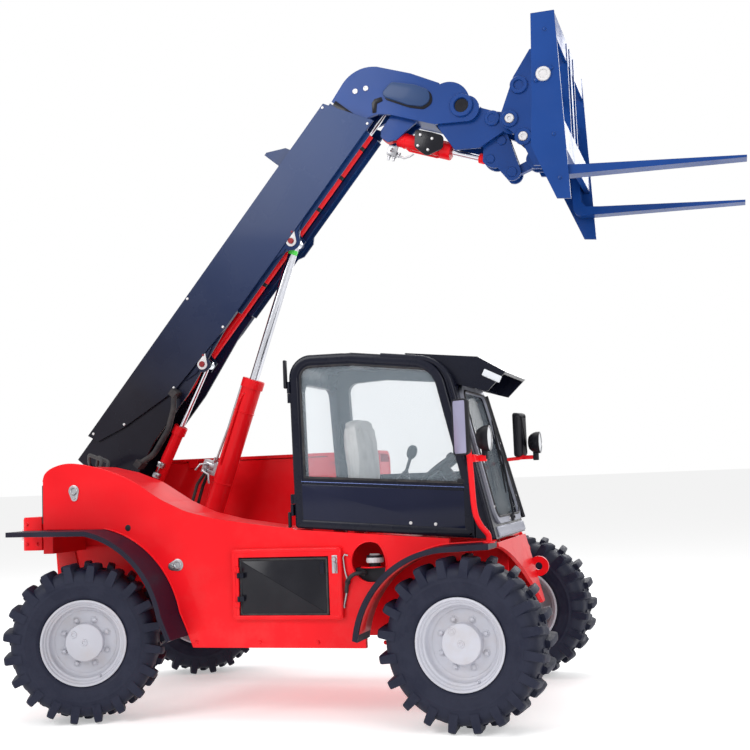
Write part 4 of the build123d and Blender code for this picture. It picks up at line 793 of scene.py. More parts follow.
def filler():
    """The filler's recess: rim of the opening, neck ring, ribbed cap, hose, and the rod beside it."""
    left = arc_points((1.505, 0.76), (1.56, 0.905), (1.64, 0.9), 12)
    right = arc_points((1.64, 0.9), (1.68, 0.8), (1.66, 0.715), 8)
    low = arc_points((1.66, 0.715), (1.57, 0.705), (1.505, 0.76), 8)
    outline = list(reversed(left + right[1:] + low[1:-1]))
    Shape().bead(
        inset(outline, -0.004), -PANEL_Y, 0.008, 0.0035,
    ).done("filler_rim", "body_red", angle=60)
    dish = [(0.0, 0.0005), (0.04, 0.0005), (0.044, 0.004), (0.06, 0.006), (0.064, 0.003), (0.066, 0)]
    Shape().lathe(dish, upright(1.59, -0.655, 0.7755), 40).done("filler_dish", "body_red")
    m = upright(1.596, -0.642, 0.799)
    cap = Shape()
    crown = [
        (0.0425, 0.0), (0.0435, 0.004), (0.0435, 0.02), (0.0415, 0.027), (0.034, 0.0365), (0.02, 0.0385),
        (0, 0.039),
    ]
    cap.lathe(crown, m, 48)
    for t in ring_of(18):
        rib = Matrix.Rotation(t, 4, "Z") @ Matrix.Translation((0.043, 0, 0.012))
        cap.box((0.003, 0.007, 0.018), m @ rib, 0.001)
    cap.box((0.054, 0.012, 0.01), m @ Matrix.Translation((0, 0, 0.04)), 0.0036, 3)
    cap.done("filler_cap", "cap_white", slot="steel")
    route = smooth_path([at(*p) for p in (
        (1.56, -0.655, 0.745), (1.552, -0.728, 0.752), (1.515, -0.748, 0.748), (1.484, -0.742, 0.722),
        (1.47, -0.732, 0.69), (1.464, -0.7285, 0.655),
    )], 8)
    hose = Shape().tube(route, 0.0105, 14)
    for first, last in ((5, 8), (26, 30)):  # clamps near its ends
        hose.tube(route[first:last], 0.014, 14)
    hose.done("filler_hose", "hose_rubber")
    hook = (
        (1.48, -0.729, 0.842), (1.463, -0.733, 0.848), (1.455, -0.733, 0.832), (1.462, -0.731, 0.76),
        (1.48, -0.73, 0.7),
    )
    rod = Shape().tube([at(*p) for p in hook], 0.0046, 12)
    rod.tube([at(x, -0.727, z) for x, z in ((1.466, 0.655), (1.456, 0.612), (1.45, 0.59))], 0.007, 12)
    tip = frame_of(at(1.451, -0.727, 0.592), (-0.1, 0, -1))
    rod.lathe([(0.0088, 0), (0.0088, 0.01), (0.006, 0.014), (0, 0.014)], tip, 16)
    rod.done("filler_rod", "steel")


def tail():
    """Lenses of the rear lamps, inner plates of the rear wheels' wells in a darker red that is painted shade, and
    bolts low on the body.
    """
    lamps = Shape()
    # local X is the side, local Y the height, and local Z points backwards
    turn = Matrix(((0, 0, -1), (1, 0, 0), (0, 1, 0)))
    back = Matrix.Translation((LAMPS_X + DATUM, 0, 0)) @ turn.to_4x4()
    for y in (-0.56, 0.56):
        m = back @ Matrix.Translation((y, 0.985, 0))
        for x in (-0.048, 0.0, 0.048):
            outline = oblong(x - 0.021, -0.027, x + 0.021, 0.027, 0.006, 4)
            lamps.plate(outline, 0.003, m @ Matrix.Translation((0, 0, -0.0028)), 0.0012)
    lamps.done("rear_lamp_lenses", "lamp_red", slot="lamp_glass")
    well = Shape()
    outline = [
        (-0.452, 0.895), (-0.33, 0.895), (-0.3, 0.76), (-0.262, 0.64), (-0.3, 0.56), (-0.398, 0.56),
        (-0.42, 0.76),
    ]
    for hand in (-1, 1):
        well.plate(outline, 0.006, wall(hand * WELL_Y, hand), 0.002)
    well.done("rear_well_plates", "shaded_liner_red", slot="body_red")
    bolts = Shape()
    for x, z in ((-0.425, 0.935), (-0.425, 1.045), (-0.36, 0.935)):
        bolts.bolt(at(x, -0.69, z), RIGHT, 0.008, 0.006)
    for x in (0.62, 0.98, 1.3, 1.66):
        bolts.bolt(at(x, -PANEL_Y, 0.405), RIGHT, 0.0075, 0.0055)
    for x, z in ((2.262, 0.8), (2.238, 0.58)):
        bolts.bolt(at(x, 0.088, z), RIGHT, 0.008, 0.006)
    bolts.done("body_bolts", "body_red")


# ---------------------------------------------------------------- cab

# outlines of the cab's side and of its door, and the radii of their corners
CAB = [(1.191, 0.987), (2.247, 0.905), (2.034, 1.819), (1.521, 1.882), (1.178, 1.886)]
CAB_R = [0.02, 0.0, 0.19, 0.0, 0.12]
DOOR = [(1.191, 0.987), (2.138, 0.9135), (2.138, 1.184), (1.99, 1.8235), (1.521, 1.8815), (1.178, 1.886)]
DOOR_R = [0.02, 0.012, 0.0, 0.19, 0.0, 0.12]
DOOR_Y = -0.7  # the door's outer face


def belt_z(x):
    """Height of the door's belt line at a station."""
    return 1.25 - 0.079 * (x - 1.15) / 1.15


def clip_above(points, line):
    """The part of a closed outline above a line."""
    out = []
    for i, p in enumerate(points):
        q = points[i - 1]
        dp, dq = p[1] - line(p[0]), q[1] - line(q[0])
        if (dp > 0) != (dq > 0):
            out.append(Vector(q) + (Vector(p) - Vector(q)) * (dq / (dq - dp)))
        if dp > 0:
            out.append(Vector(p))
    return out


def pane_outline():
    """Outline of the side window, down to the belt line."""
    profile = rounded(CAB, CAB_R, 12)
    return clip_above(inset(profile, 0.058), belt_z)


def door_trim():
    """Rolled frame, seals, the dark lower pane with its bolts, hinge covers and handle."""
    frame_line = inset(rounded(DOOR, DOOR_R, 12), 0.0015)
    Shape().bead(frame_line, DOOR_Y, 0.047, 0.0085).done(
        "door_frame_roll", "cab_paint", "door", angle=60,
    )
    seal = Shape().bead(inset(pane_outline(), -0.003), DOOR_Y + 0.001, 0.0125, 0.005)
    seal.done("door_glass_seal", "hose_rubber", "door", angle=60)
    lower = rounded(
        [(1.214, 1.016), (2.118, 0.944), (2.118, 1.146), (1.212, 1.214)], [0.03, 0.02, 0.016, 0.016],
    )
    panel = Shape().plate(lower, 0.0042, wall(DOOR_Y), 0.0016)
    panel.done("door_lower_pane", "gloss_navy", "door", "cab_paint")
    # a lighter blue strip along the belt line: a painted highlight on the door's edge
    belt = [at(x, DOOR_Y - 0.0038, belt_z(x) - 0.0185) for x in (1.216, 1.5, 1.8, 2.114)]
    Shape().tube(belt, 0.0022, 8).done("door_belt_line", "belt_highlight_blue", "door", "cab_paint", angle=60)
    bolts = Shape()
    head = [
        (0.0085, 0), (0.0085, 0.0018), (0.007, 0.0034), (0.0035, 0.004), (0.0032, 0.0028), (0, 0.0028),
    ]
    for x, z in ((1.812, 0.9965), (1.941, 0.987)):
        bolts.lathe(head, on_wall(DOOR_Y - 0.004, x, z), 24)
    bolts.done("door_pane_bolts", "pin_white", "door", "steel")
    cover = Shape().box((0.016, 0.03, 0.15), upright(1.1605, -0.706, 1.79), 0.006, 3)
    cover.box((0.014, 0.026, 0.08), upright(1.162, -0.706, 1.03), 0.005, 3)
    cover.done("door_hinge_covers", "black_plastic")
    m = on_wall(DOOR_Y - 0.0035, 2.086, 1.198) @ Matrix.Rotation(math.radians(-4), 4, "Z")
    Shape().box((0.05, 0.02, 0.008), m, 0.0035, 3).done("door_handle", "black_plastic", "door")
    # the second roll, on the fixed pillar ahead of the door
    front = [Vector((1.7, 1.8605)), Vector((1.86, 1.8408))]
    front += [Vector(p) for p in rounded(CAB, CAB_R, 12) if 1.88 < p[0] < 2.12 and p[1] > 1.5]
    front = sorted(front, key=lambda p: (p.x, -p.y)) + [Vector((2.245, 0.9135))]
    path = [at(p.x - 0.0135, DOOR_Y + 0.0015, p.y - 0.0045) for p in front]
    Shape().tube(path, 0.0125, 14).done("pillar_roll", "cab_paint", angle=60)


def screen_point(y, up, off=0.0):
    """A point on the windscreen's plane: side, distance up the slope, distance out of it."""
    foot, top = Vector(CAB[1]), Vector(CAB[2])
    run = (top - foot).normalized()
    p = foot + run * up + Vector((run.y, -run.x)) * off
    return at(p.x, y, p.y)


def screen_trim():
    """The windscreen's seal, bolts, wiper and skirt, and the black edge of the far pillar."""
    outline = rounded([(-0.6, 0.105), (0.045, 0.105), (-0.05, 0.77), (-0.6, 0.77)], 0.06, 8)
    path = [screen_point(p.x, p.y, 0.015) for p in outline]
    Shape().tube(path + path[:2], 0.0055, 8).done("screen_seal", "hose_rubber", angle=60)
    far = ((0.086, 0.075), (0.052, 0.3), (0.018, 0.52), (-0.022, 0.77))
    edge = Shape().tube([screen_point(y, up, 0.016) for y, up in far], 0.012, 12)
    edge.done("screen_far_edge", "black_plastic", angle=60)
    bolts = Shape()
    normal = (screen_point(0, 0.3, 0.1) - screen_point(0, 0.3)).normalized()
    for y, up in (
        (-0.617, 0.16), (-0.617, 0.4), (-0.617, 0.66), (0.04, 0.2), (0.004, 0.5), (-0.3, 0.0865),
    ):
        bolts.bolt(screen_point(y, up, 0.014), normal, 0.0055, 0.0045)
    bolts.done("screen_bolts", "pin_white", slot="steel")
    arm = ((-0.25, 0.088, 0.02), (-0.245, 0.11, 0.03), (-0.12, 0.42, 0.032), (-0.105, 0.455, 0.024))
    blade = ((-0.205, 0.225, 0.014), (-0.105, 0.455, 0.018), (-0.01, 0.69, 0.014))
    wiper = Shape().tube([screen_point(*p) for p in arm], 0.006, 10)
    wiper.tube([screen_point(*p) for p in blade], [0.004, 0.0065, 0.004], 8)
    motor = [(0.02, 0), (0.02, 0.01), (0.016, 0.016), (0.007, 0.018), (0.007, 0.024), (0, 0.024)]
    wiper.lathe(motor, frame_of(screen_point(-0.25, 0.088, 0.012), normal), 24)
    wiper.done("wiper", "black_plastic")
    # skirt below the glass: a shallow pressed panel
    skirt = Shape()
    corners = [(-0.628, 0.006), (0.108, 0.006), (0.094, 0.06), (-0.628, 0.06)]
    rings = []
    for inwards, off in ((None, 0.0), (None, 0.004), (0.006, 0.009), (0.014, 0.009), (0.02, 0.006)):
        ring = corners if inwards is None else inset(corners, inwards)
        rings.append([screen_point(p[0], p[1], off) for p in ring])
    skirt.take(skirt.skin(rings))
    skirt.done("screen_skirt", "screen_grey")


def mirror_brackets():
    """The red tubes that carry the mirrors, with their foot and clamps."""
    right = smooth_path([at(*p) for p in (
        (2.232, -0.82, 0.896), (2.23, -0.82, 0.935), (2.196, -0.834, 0.985), (2.175, -0.852, 1.06),
        (2.172, -0.88, 1.24), (2.169, -0.893, 1.33), (2.162, -0.915, 1.395), (2.158, -0.925, 1.42),
    )], 6)
    tubes = Shape().tube(right, 0.0142, 16)
    tubes.lathe(
        [(0.03, 0), (0.03, 0.004), (0.028, 0.006), (0.0142, 0.007)], upright(2.232, -0.82, 0.8955), 28,
    )
    tubes.box((0.036, 0.098, 0.036), upright(2.181, -0.845, 1.306), 0.005, 3)
    tubes.box((0.048, 0.03, 0.032), upright(2.212, -0.8, 1.306), 0.004, 3)
    left = smooth_path([at(*p) for p in (
        (2.16, 0.034, 1.301), (2.21, 0.047, 1.306), (2.25, 0.057, 1.3105), (2.262, 0.0605, 1.33),
        (2.262, 0.062, 1.38),
    )], 6)
    tubes.tube(left, 0.0102, 14)
    tubes.box((0.075, 0.024, 0.022), upright(2.285, 0.062, 1.312), 0.004, 3)
    tubes.done("mirror_brackets", "body_red", angle=50, replaces=("mirrors",))


def mirrors():
    """Two housings with their glass; a place is the glass's middle, a turn is in degrees."""
    houses, faces = Shape(), Shape()
    wide = 0.098
    shell = (  # inset from the outline, distance out of the glass
        (0.03, -0.021), (0.016, -0.0185), (0.006, -0.01), (0.0012, 0.004), (0, 0.018), (0.0015, 0.0215),
        (0.0065, 0.0215), (0.008, 0.017),
    )
    out_of_glass = Matrix(((0, 0, -1), (-1, 0, 0), (0, 1, 0))).to_4x4()  # local Z
    for place, turn, tall in (((2.15, -0.93, 1.457), 58, 0.272), ((2.258, 0.062, 1.44), -20, 0.246)):
        face = Matrix.Translation(at(*place)) @ Matrix.Rotation(
            math.radians(turn), 4, "Z",
        ) @ out_of_glass
        outline = oblong(-wide / 2, -tall / 2, wide / 2, tall / 2, 0.018)
        rings = [[face @ Vector((p.x, p.y, z)) for p in inset(outline, d)] for d, z in shell]
        houses.take(houses.skin(rings))
        faces.plate(inset(outline, 0.0085), 0.002, face @ Matrix.Translation((0, 0, 0.0172)), 0.0008)
        back = face @ Matrix.Translation((0, -tall * 0.18, -0.025))
        houses.lathe([(0.016, 0), (0.016, 0.004), (0, 0.005)], back, 20)
    houses.done("mirror_housings", "black_plastic")
    faces.done("mirror_glasses", "mirror", slot="black_plastic")


def work_lamps():
    """The two round lamps in their bowls, and the bar of light under the brim with its cover."""
    bowls, lenses, rims = Shape(), Shape(), Shape()
    bowl = (
        (0, -0.034), (0.42, -0.034), (0.6, -0.03), (0.8, -0.018), (0.95, 0.0), (0.995, 0.01), (1, 0.03),
        (0.97, 0.032), (0.9, 0.031), (0.88, 0.022), (0, 0.018),
    )
    lens = ((0.895, 0.024), (0.88, 0.028), (0.6, 0.0305), (0.3, 0.0316), (0, 0.0318))
    rim = ((0.885, 0.03), (0.9, 0.0322), (0.955, 0.0322), (0.965, 0.03))
    for place, r in (((2.225, -0.8, 1.402), 0.064), ((2.334, 0.062, 1.392), 0.06)):
        m = frame_of(at(*place), (1, 0, 0))
        for shape, profile in ((bowls, bowl), (lenses, lens), (rims, rim)):
            shape.lathe([(share * r, h) for share, h in profile], m, 48)
        yoke = at(place[0] + 0.004, place[1], place[2] - r - 0.012)
        bowls.box((0.03, 0.026, 0.052), Matrix.Translation(yoke), 0.004, 3)
        bowls.bolt(yoke + Vector((0, -0.013, -0.004)), RIGHT, 0.006, 0.005)
    brim = upright(2.2212, -0.573, 1.7578, 31.6)
    bowls.box((0.0925, 0.106, 0.006), brim @ Matrix.Translation((0, 0, 0.0135)), 0.002)
    bowls.done("lamp_bowls", "black_plastic", angle=40, replaces=("work_lights",))
    lenses.done("lamp_lenses", "lamp_white", slot="lamp_glass", angle=60)
    rims.done("lamp_rims", "steel", angle=50)
    bar = Shape().box((0.0925, 0.106, 0.026), brim @ Matrix.Translation((0, 0, -0.0025)), 0.004, 3)
    for k in range(3):
        bar.box(
            (0.02, 0.096, 0.003), brim @ Matrix.Translation((-0.029 + 0.029 * k, 0, -0.0152)), 0.0012,
        )
    edge = on_wall(-0.6395, 2.25, 1.719) @ Matrix.Rotation(math.radians(-27.1), 4, "Z")
    bar.box((0.098, 0.036, 0.016), edge @ Matrix.Translation((0, 0, 0.006)), 0.005, 3)
    bar.done("brim_lamp", "lamp_white", slot="lamp_glass")


def pad_mesh(size, crown, seed, creases):
    """A crowned pad whose cover is creased, standing on its own middle."""
    bm = bmesh.new()
    bmesh.ops.create_cube(bm, size=2.0)
    bmesh.ops.subdivide_edges(bm, edges=bm.edges[:], cuts=22, use_grid_fill=True)
    for v in bm.verts:
        p = v.co.copy()
        q = Vector([math.copysign(abs(c) ** 0.85, c) for c in p])
        bulge = Vector((
            (1 - q.y ** 4) * (1 - q.z ** 4), (1 - q.x ** 4) * (1 - q.z ** 4),
            (1 - q.x ** 4) * (1 - q.y ** 4),
        ))
        round_off = 1.0 - 0.1 * (abs(p.x * p.y) ** 6 + abs(p.y * p.z) ** 6 + abs(p.x * p.z) ** 6)
        v.co = [
            c * (size[k] / 2 - crown[k]) * round_off + math.copysign(
                crown[k] * bulge[k], c,
            ) * (abs(c) > 0.99)
            for k, c in enumerate(p)
        ]
    bm.normal_update()
    shift = Vector((seed, seed * 0.7, seed * 1.3))
    for v in bm.verts:
        q = Vector([c * crease for c, crease in zip(v.co, creases)]) + shift
        fold = noise.noise(q) * 0.6 + noise.noise(q * 2.3) * 0.3
        v.co -= v.normal * (abs(fold) ** 0.7 * creases[3])
    return bm


def seat():
    """Seat in its protective cover: back, cushion and base."""
    pad = pad_mesh((0.118, 0.376, 0.396), (0.012, 0.01, 0.014), 3.1, (30, 30, 5, 0.015))
    back = Shape().take(pad, upright(1.44, -0.3, 1.352, -4))
    back.done("seat_back_pad", "seat_cover", angle=80, replaces=("seat",))
    pad = pad_mesh((0.386, 0.388, 0.096), (0.01, 0.01, 0.012), 8.4, (16, 16, 9, 0.007))
    cushion = Shape().take(pad, upright(1.59, -0.3, 1.139, -1.5))
    cushion.done("seat_cushion_pad", "seat_cover", angle=80)
    base = Shape().box((0.25, 0.29, 0.075), upright(1.57, -0.3, 1.048), 0.01, 3)
    for k in range(4):  # folds of the suspension's boot
        narrow = 0.01 * (k % 2)
        base.box((0.236 - narrow, 0.276 - narrow, 0.012), upright(1.57, -0.3, 1.004 + 0.0105 * k), 0.003)
    base.box((0.085, 0.35, 0.22), upright(1.405, -0.3, 1.23, -4), 0.012, 3)
    base.done("seat_base", "black_plastic")


def cab_inside():
    """The lever's boot and grip, dials on the dash and the steering wheel's knob."""
    foot = at(1.738, -0.556, 1.2)
    up = Vector((0.333, 0, 0.943)).normalized()
    profile = [(0.04, 0.0)]
    for k in range(5):  # ribs of the boot
        r, h = 0.04 - 0.005 * k, 0.004 + 0.0115 * k
        profile += [(r, h + 0.002), (r + 0.0005, h + 0.0045), (r - 0.0085, h + 0.0095)]
    profile += [
        (0.011, 0.064), (0.0085, 0.068), (0.0085, 0.128), (0.014, 0.133), (0.021, 0.14), (0.0262, 0.156),
        (0.0262, 0.176), (0.0225, 0.19), (0.012, 0.2005), (0, 0.202),
    ]
    lever = Shape().lathe(profile, frame_of(foot, up), 36)
    button = frame_of(foot + up * 0.176 + Vector((0, -0.025, 0.002)), (0, -1, 0.1))
    lever.lathe([(0.0068, 0), (0.0068, 0.004), (0.0052, 0.0055), (0, 0.0055)], button, 16)
    lever.done("lever_boot_and_grip", "black_plastic", angle=40, replaces=("lever",))
    dials = Shape()
    for y in (-0.372, -0.3, -0.228):
        dial = [(0.024, -0.004), (0.024, 0.004), (0.021, 0.006), (0.019, 0.003), (0, 0.003)]
        dials.lathe(dial, frame_of(at(2.022, y, 1.2245), (-0.47, 0, 0.88)), 28)
    dials.done("dash_dials", "steel", slot="black_plastic")
    profile = [(0.008, -0.012), (0.008, 0.01), (0.019, 0.016), (0.022, 0.028), (0.018, 0.04), (0, 0.045)]
    knob = Shape().lathe(profile, frame_of(at(1.925, -0.196, 1.312), (-0.57, 0, 0.82)), 24)
    knob.done("steering_knob", "black_plastic")


# ---------------------------------------------------------------- boom, head and carriage

LIFT_Y = 0.265  # middle of the lifting and the levelling cylinder
HEAD_Y = 0.188  # outer face of the head's right cheek
BRACKET_Y = 0.151  # outer face of the carriage's right bracket
PLATE_Y = -0.3  # outer face of the carriage's right end plate
LIFT_PIN, LIFT_EYE = (0.112, 0.62), (1.953, 0.032)  # station and height; along and across the boom
LEVEL_PIN, LEVEL_EYE = (-0.225, 1.035), (1.01, 0.036)
TILT_PIN, CRANK_EYE = (1.5, 3.3), (2.127, 3.078)


def boom_side(y):
    """A matrix whose local X runs up the boom, local Y across it, and local Z out of its right side."""
    c, s = math.cos(BOOM_ANGLE), math.sin(BOOM_ANGLE)
    turn = Matrix(((c, -s, 0), (0, 0, -1), (s, c, 0)))
    return Matrix.Translation(at(PIVOT[0], y, PIVOT[1])) @ turn.to_4x4()


def round_end(centre, r, end, end_r):
    """A teardrop: a round end about one place and a smaller one about another."""
    steps = 10
    a, b = Vector(centre), Vector(end)
    run = math.atan2(b.y - a.y, b.x - a.x)
    out = []
    for mid, radius, start in ((a, r, run + math.pi / 2), (b, end_r, run - math.pi / 2)):
        out += [mid + Vector((math.cos(t), math.sin(t))) * radius
                for t in (start + math.pi * k / steps for k in range(steps + 1))]
    return out


def boom_trim():
    """Cover bolts, two cylinders' pins with their lugs, rails, wear pads, clips and the pivot's cap."""
    def on_boom(y, u, v):
        return boom_side(y) @ Matrix.Translation((u, v, 0))

    bolts = Shape()
    for u, v in (
        (0.212, 0.352), (1.27, 0.36), (2.715, 0.36), (2.795, 0.058), (1.275, 0.054), (0.78, 0.086),
        (0.392, 0.216),
    ):
        bolts.lathe(
            [(0.0085, 0), (0.0085, 0.003), (0.0066, 0.0052), (0, 0.0056)], on_boom(0.152, u, v), 20,
        )
    bolts.done("cover_bolts", "pin_white", "boom", "steel")
    lugs, plates, pins = Shape(), Shape(), Shape()
    for (u, v), r, reach in ((LIFT_EYE, 0.056, 0.2), (LEVEL_EYE, 0.05, 0.15)):
        low = v - 0.012
        turns = [math.radians(200 + 14 * k) for k in range(11)]
        arc = [(u + r * math.cos(t), low + r * math.sin(t)) for t in turns]
        foot = [(u - reach, 0.052), (u - 0.45 * reach, 0.022), (u - 0.3 * reach, low + 0.002)]
        back = [(u + 0.32 * reach, low + 0.002), (u + 0.5 * reach, 0.03), (u + reach, 0.05)]
        lugs.plate(foot + arc + back, 0.01, boom_side(0.17), 0.003)
        plates.plate(
            round_end((u, low), 0.034, (u + 0.052, low + 0.034), 0.015), 0.005, boom_side(0.16), 0.0016,
        )
        pins.lathe([(0.018, 0), (0.018, 0.008), (0.0145, 0.011), (0, 0.011)], on_boom(0.155, u, low), 28)
        pins.lathe([(0.0065, 0), (0.0065, 0.004), (0, 0.005)], on_boom(0.155, u + 0.048, low + 0.03), 16)
    lugs.done("pin_lugs", "boom_paint", "boom")
    plates.done("pin_retainers", "pin_white", "boom", "steel")
    pins.done("pin_ends", "dark_red", "boom", "body_red")
    on_edge = Matrix.Rotation(math.pi / 2, 4, "X")
    rails = Shape()
    for y in (0.184, 0.416):
        rails.box((1.35, 0.01, 0.034), on_boom(y, 2.08, 0.034) @ on_edge, 0.003)
    rails.done("boom_rails", "boom_paint", "boom")
    pads = Shape()
    for y in (0.186, 0.414):
        pads.box((0.05, 0.012, 0.19), on_boom(y, 2.772, 0.235) @ on_edge, 0.003)
    pads.done("boom_wear_pads", "gloss_black", "boom", "black_plastic")
    clips = Shape()
    axis = Vector((math.cos(BOOM_ANGLE), 0, math.sin(BOOM_ANGLE)))
    for u in (1.62, 1.95, 2.2, 2.44, 2.66):
        band = [(0.03, -0.012), (0.0325, -0.01), (0.0325, 0.01), (0.03, 0.012)]
        clips.lathe(band, frame_of(along(u, 0.088, 0.344), axis), 32)
        clips.bolt(along(u, 0.088, 0.344 - 0.032), RIGHT, 0.006, 0.007)
    clips.done("extension_clips", "gloss_black", "boom", "black_plastic")
    cap = Shape()
    profile = [(0.058, 0), (0.058, 0.006), (0.052, 0.01), (0.036, 0.01), (0.034, 0.013), (0, 0.013)]
    cap.lathe(profile, boom_side(0.17), 40)
    cap.bolt(boom_side(0.16) @ Vector((0, 0.045, 0)), RIGHT, 0.007, 0.006)
    cap.done("pivot_caps", "gloss_black", "boom", "black_plastic")


def head_trim():
    """The head's raised pad with black plates below it as its painted shadow, bolts, boss and clamp, and both
    cheeks' rolled edge.
    """
    pad = rounded(
        [
            (1.48, 3.528), (1.56, 3.6), (1.7, 3.566), (1.79, 3.52), (1.796, 3.452), (1.742, 3.424),
            (1.655, 3.446),
        ],
        [0.03, 0.03, 0.06, 0.05, 0.045, 0.045, 0.06], 7,
    )
    Shape().plate(pad, 0.016, wall(HEAD_Y), 0.006, 3).done(
        "head_pad", "head_pad", "inner_boom", "head_blue",
    )
    # painted shadow: a black copy of the pad's outline moved down and back, and a hook-shaped black strip to its
    # left as painted shade
    pad_shadow = Shape().plate(
        [(p.x + 0.01, p.y - 0.013) for p in inset(pad, -0.003)], 0.005, wall(HEAD_Y), 0.002,
    )
    hook = [
        (1.432, 3.424), (1.456, 3.43), (1.462, 3.482), (1.5, 3.494), (1.492, 3.52), (1.448, 3.512),
        (1.43, 3.49),
    ]
    pad_shadow.plate(rounded(hook, 0.006, 4), 0.005, wall(HEAD_Y), 0.002)
    pad_shadow.done("head_pad_shadow", "gloss_black", "inner_boom", "black_plastic", angle=60)
    bolts = Shape()
    head = [
        (0.0165, 0), (0.0165, 0.004), (0.014, 0.0065), (0.0085, 0.0065), (0.0078, 0.0035), (0, 0.0035),
    ]
    for x, z in ((1.327, 3.577), (1.395, 3.586)):
        bolts.lathe(head, on_wall(HEAD_Y, x, z), 32)
    bolts.done("head_bolts", "pin_white", "inner_boom", "steel")
    m = on_wall(HEAD_Y, 1.981, 3.403)
    ring = [(0.07, 0), (0.07, 0.01), (0.066, 0.014), (0.046, 0.014), (0.043, 0.01), (0.042, 0.001)]
    Shape().lathe(ring, m, 56).done("head_boss", "head_blue", "inner_boom")
    # a black disc inside the ring: painted shade in the boss's bore
    bore = Shape().lathe([(0.0415, 0.0012), (0, 0.0012)], m, 48)
    bore.done("head_boss_bore_shade", "gloss_black", "inner_boom", "black_plastic")
    outline = rounded(
        [(1.684, 3.306), (1.676, 3.194), (1.748, 3.132), (1.852, 3.168), (1.858, 3.244), (1.79, 3.272)],
        [0.018, 0.03, 0.03, 0.03, 0.03, 0.02],
    )
    clamp = Shape().plate(outline, 0.01, wall(0.222), 0.003)
    clamp.done("tilt_clamp", "gloss_black", "inner_boom", "black_plastic")
    clamp_bolts = Shape()
    for x, z in ((1.718, 3.264), (1.789, 3.232), (1.7, 3.2), (1.76, 3.167)):
        clamp_bolts.bolt(at(x, 0.212, z), RIGHT, 0.0085, 0.007, 1.0)
    clamp_bolts.done("tilt_clamp_bolts", "pin_white", "inner_boom", "steel")
    # rolled edge round the upper rim of both cheeks
    rim = Shape()
    crest = [tuple(p) for p in arc_points((2.903, 0.361), (3.03, 0.326), (3.099, 0.253), 10)][1:]
    line = [(2.8, 0.354), (2.903, 0.361)] + crest + [(3.181, 0.047), (3.23, -0.14)]
    for y in (0.197, 0.403):
        rim.tube([along(u, v - 0.01, y) for u, v in line], 0.0085, 10)
    rim.done("head_rim", "head_blue", "inner_boom", angle=60)


def boom_place(u, v):
    """Station and height of a place along and across the boom."""
    p = along(u, v)
    return p.x - DATUM, p.z


class Ram:
    """A cylinder's line from its base pin to its rod's eye, given by their stations and heights."""

    def __init__(self, pin, eye, y):
        self.foot, self.eye = at(pin[0], y, pin[1]), at(eye[0], y, eye[1])
        self.run = (self.eye - self.foot).normalized()
        self.behind = Vector((-self.run.z, 0, self.run.x))
        self.matrix = frame_of(self.foot, self.run)

    def beside(self, up, behind=0.0, right=0.0):
        """A place up the cylinder, behind it and to its right."""
        return self.foot + self.run * up + self.behind * behind + RIGHT * right

    def pipe(self, shape, r, segments, *places):
        shape.tube([self.beside(*p) for p in places], r, segments)

    def gland(self, r, rod_r, length, lip, welds, segments):
        """The end cap of the barrel, stepped down to the rod, and the barrel's weld rings."""
        edge, bead = r + 0.0085, r + 0.0032
        cap = [(edge, length - 0.056), (edge, length - 0.004), (r + 0.005, length)]
        cap += [(rod_r + lip, length), (rod_r + 0.0002, length - 0.004)]
        shape = Shape().lathe(cap, self.matrix, segments)
        for d in welds:
            ring = [
                (r + 0.0002, d - 0.005), (bead, d - 0.003), (bead, d + 0.003), (r + 0.0002, d + 0.005),
            ]
            shape.lathe(ring, self.matrix, segments)
        return shape


def lift_trim():
    """Gland, weld rings, pipe and valve of the lifting cylinder, and the green ring on its rod."""
    ram = Ram(LIFT_PIN, boom_place(*LIFT_EYE), LIFT_Y)
    ram.gland(
        0.062, 0.028, 1.33, 0.006, (0.15, 0.66, 1.12), 48,
    ).done("lift_gland", "body_red", "lift_barrel")
    pipe = Shape()
    ram.pipe(
        pipe, 0.0065, 12, (0.77, 0.02, 0.058), (0.8, 0.024, 0.067), (1.16, 0.024, 0.067), (
            1.215, 0.018, 0.064,
        ),
        (1.24, 0.01, 0.06),
    )
    pipe.done("lift_pipe", "body_red", "lift_barrel", angle=60)
    fit = Shape().box(
        (0.052, 0.06, 0.044), frame_of(ram.beside(0.735, 0.1, 0.012), ram.run, RIGHT), 0.004,
    )
    union = [(0.01, 0), (0.01, 0.012), (0.0075, 0.014), (0.0075, 0.034), (0, 0.036)]
    for place, points in (
        ((0.742, 0.118, 0.04), RIGHT), ((0.7, 0.118, 0.04), RIGHT), ((0.765, 0.08, 0.034), ram.run)
    ):
        fit.lathe(union, frame_of(ram.beside(*place), points), 6)
    ram.pipe(
        fit, 0.007, 12, (0.742, 0.118, 0.066), (0.742, 0.118, 0.08), (0.735, 0.14, 0.088),
        (0.69, 0.16, 0.088),
    )
    ram.pipe(
        fit, 0.007, 12, (0.7, 0.118, 0.066), (0.7, 0.116, 0.078), (0.69, 0.07, 0.082),
        (0.64, 0.052, 0.078),
    )
    fit.done("lift_valve_fittings", "steel", "lift_barrel")
    ring = [(0.0281, -0.014), (0.0292, -0.012), (0.0292, 0.012), (0.0281, 0.014)]
    top = Shape().lathe(ring, frame_of(ram.eye - ram.run * 0.062, ram.run), 32)
    top.done("lift_rod_ring", "lamp_green", "lift_rod", "rod_chrome")


def level_trim():
    """Gland, weld ring and fittings of the levelling cylinder."""
    ram = Ram(LEVEL_PIN, boom_place(*LEVEL_EYE), LIFT_Y)
    ram.gland(0.036, 0.018, 0.64, 0.004, (0.091,), 40).done("level_gland", "body_red", "level_barrel")
    fit = Shape()
    for up in (0.3, 0.372):
        fit.box((0.03, 0.046, 0.034), frame_of(ram.beside(up, right=0.044), ram.run, RIGHT), 0.004)
        fit.bolt(ram.beside(up, right=0.06), RIGHT, 0.008, 0.008)
    ram.pipe(fit, 0.006, 10, (0.315, 0, 0.05), (0.34, 0, 0.056), (0.358, 0, 0.05))
    fit.done("level_fittings", "steel", "level_barrel")


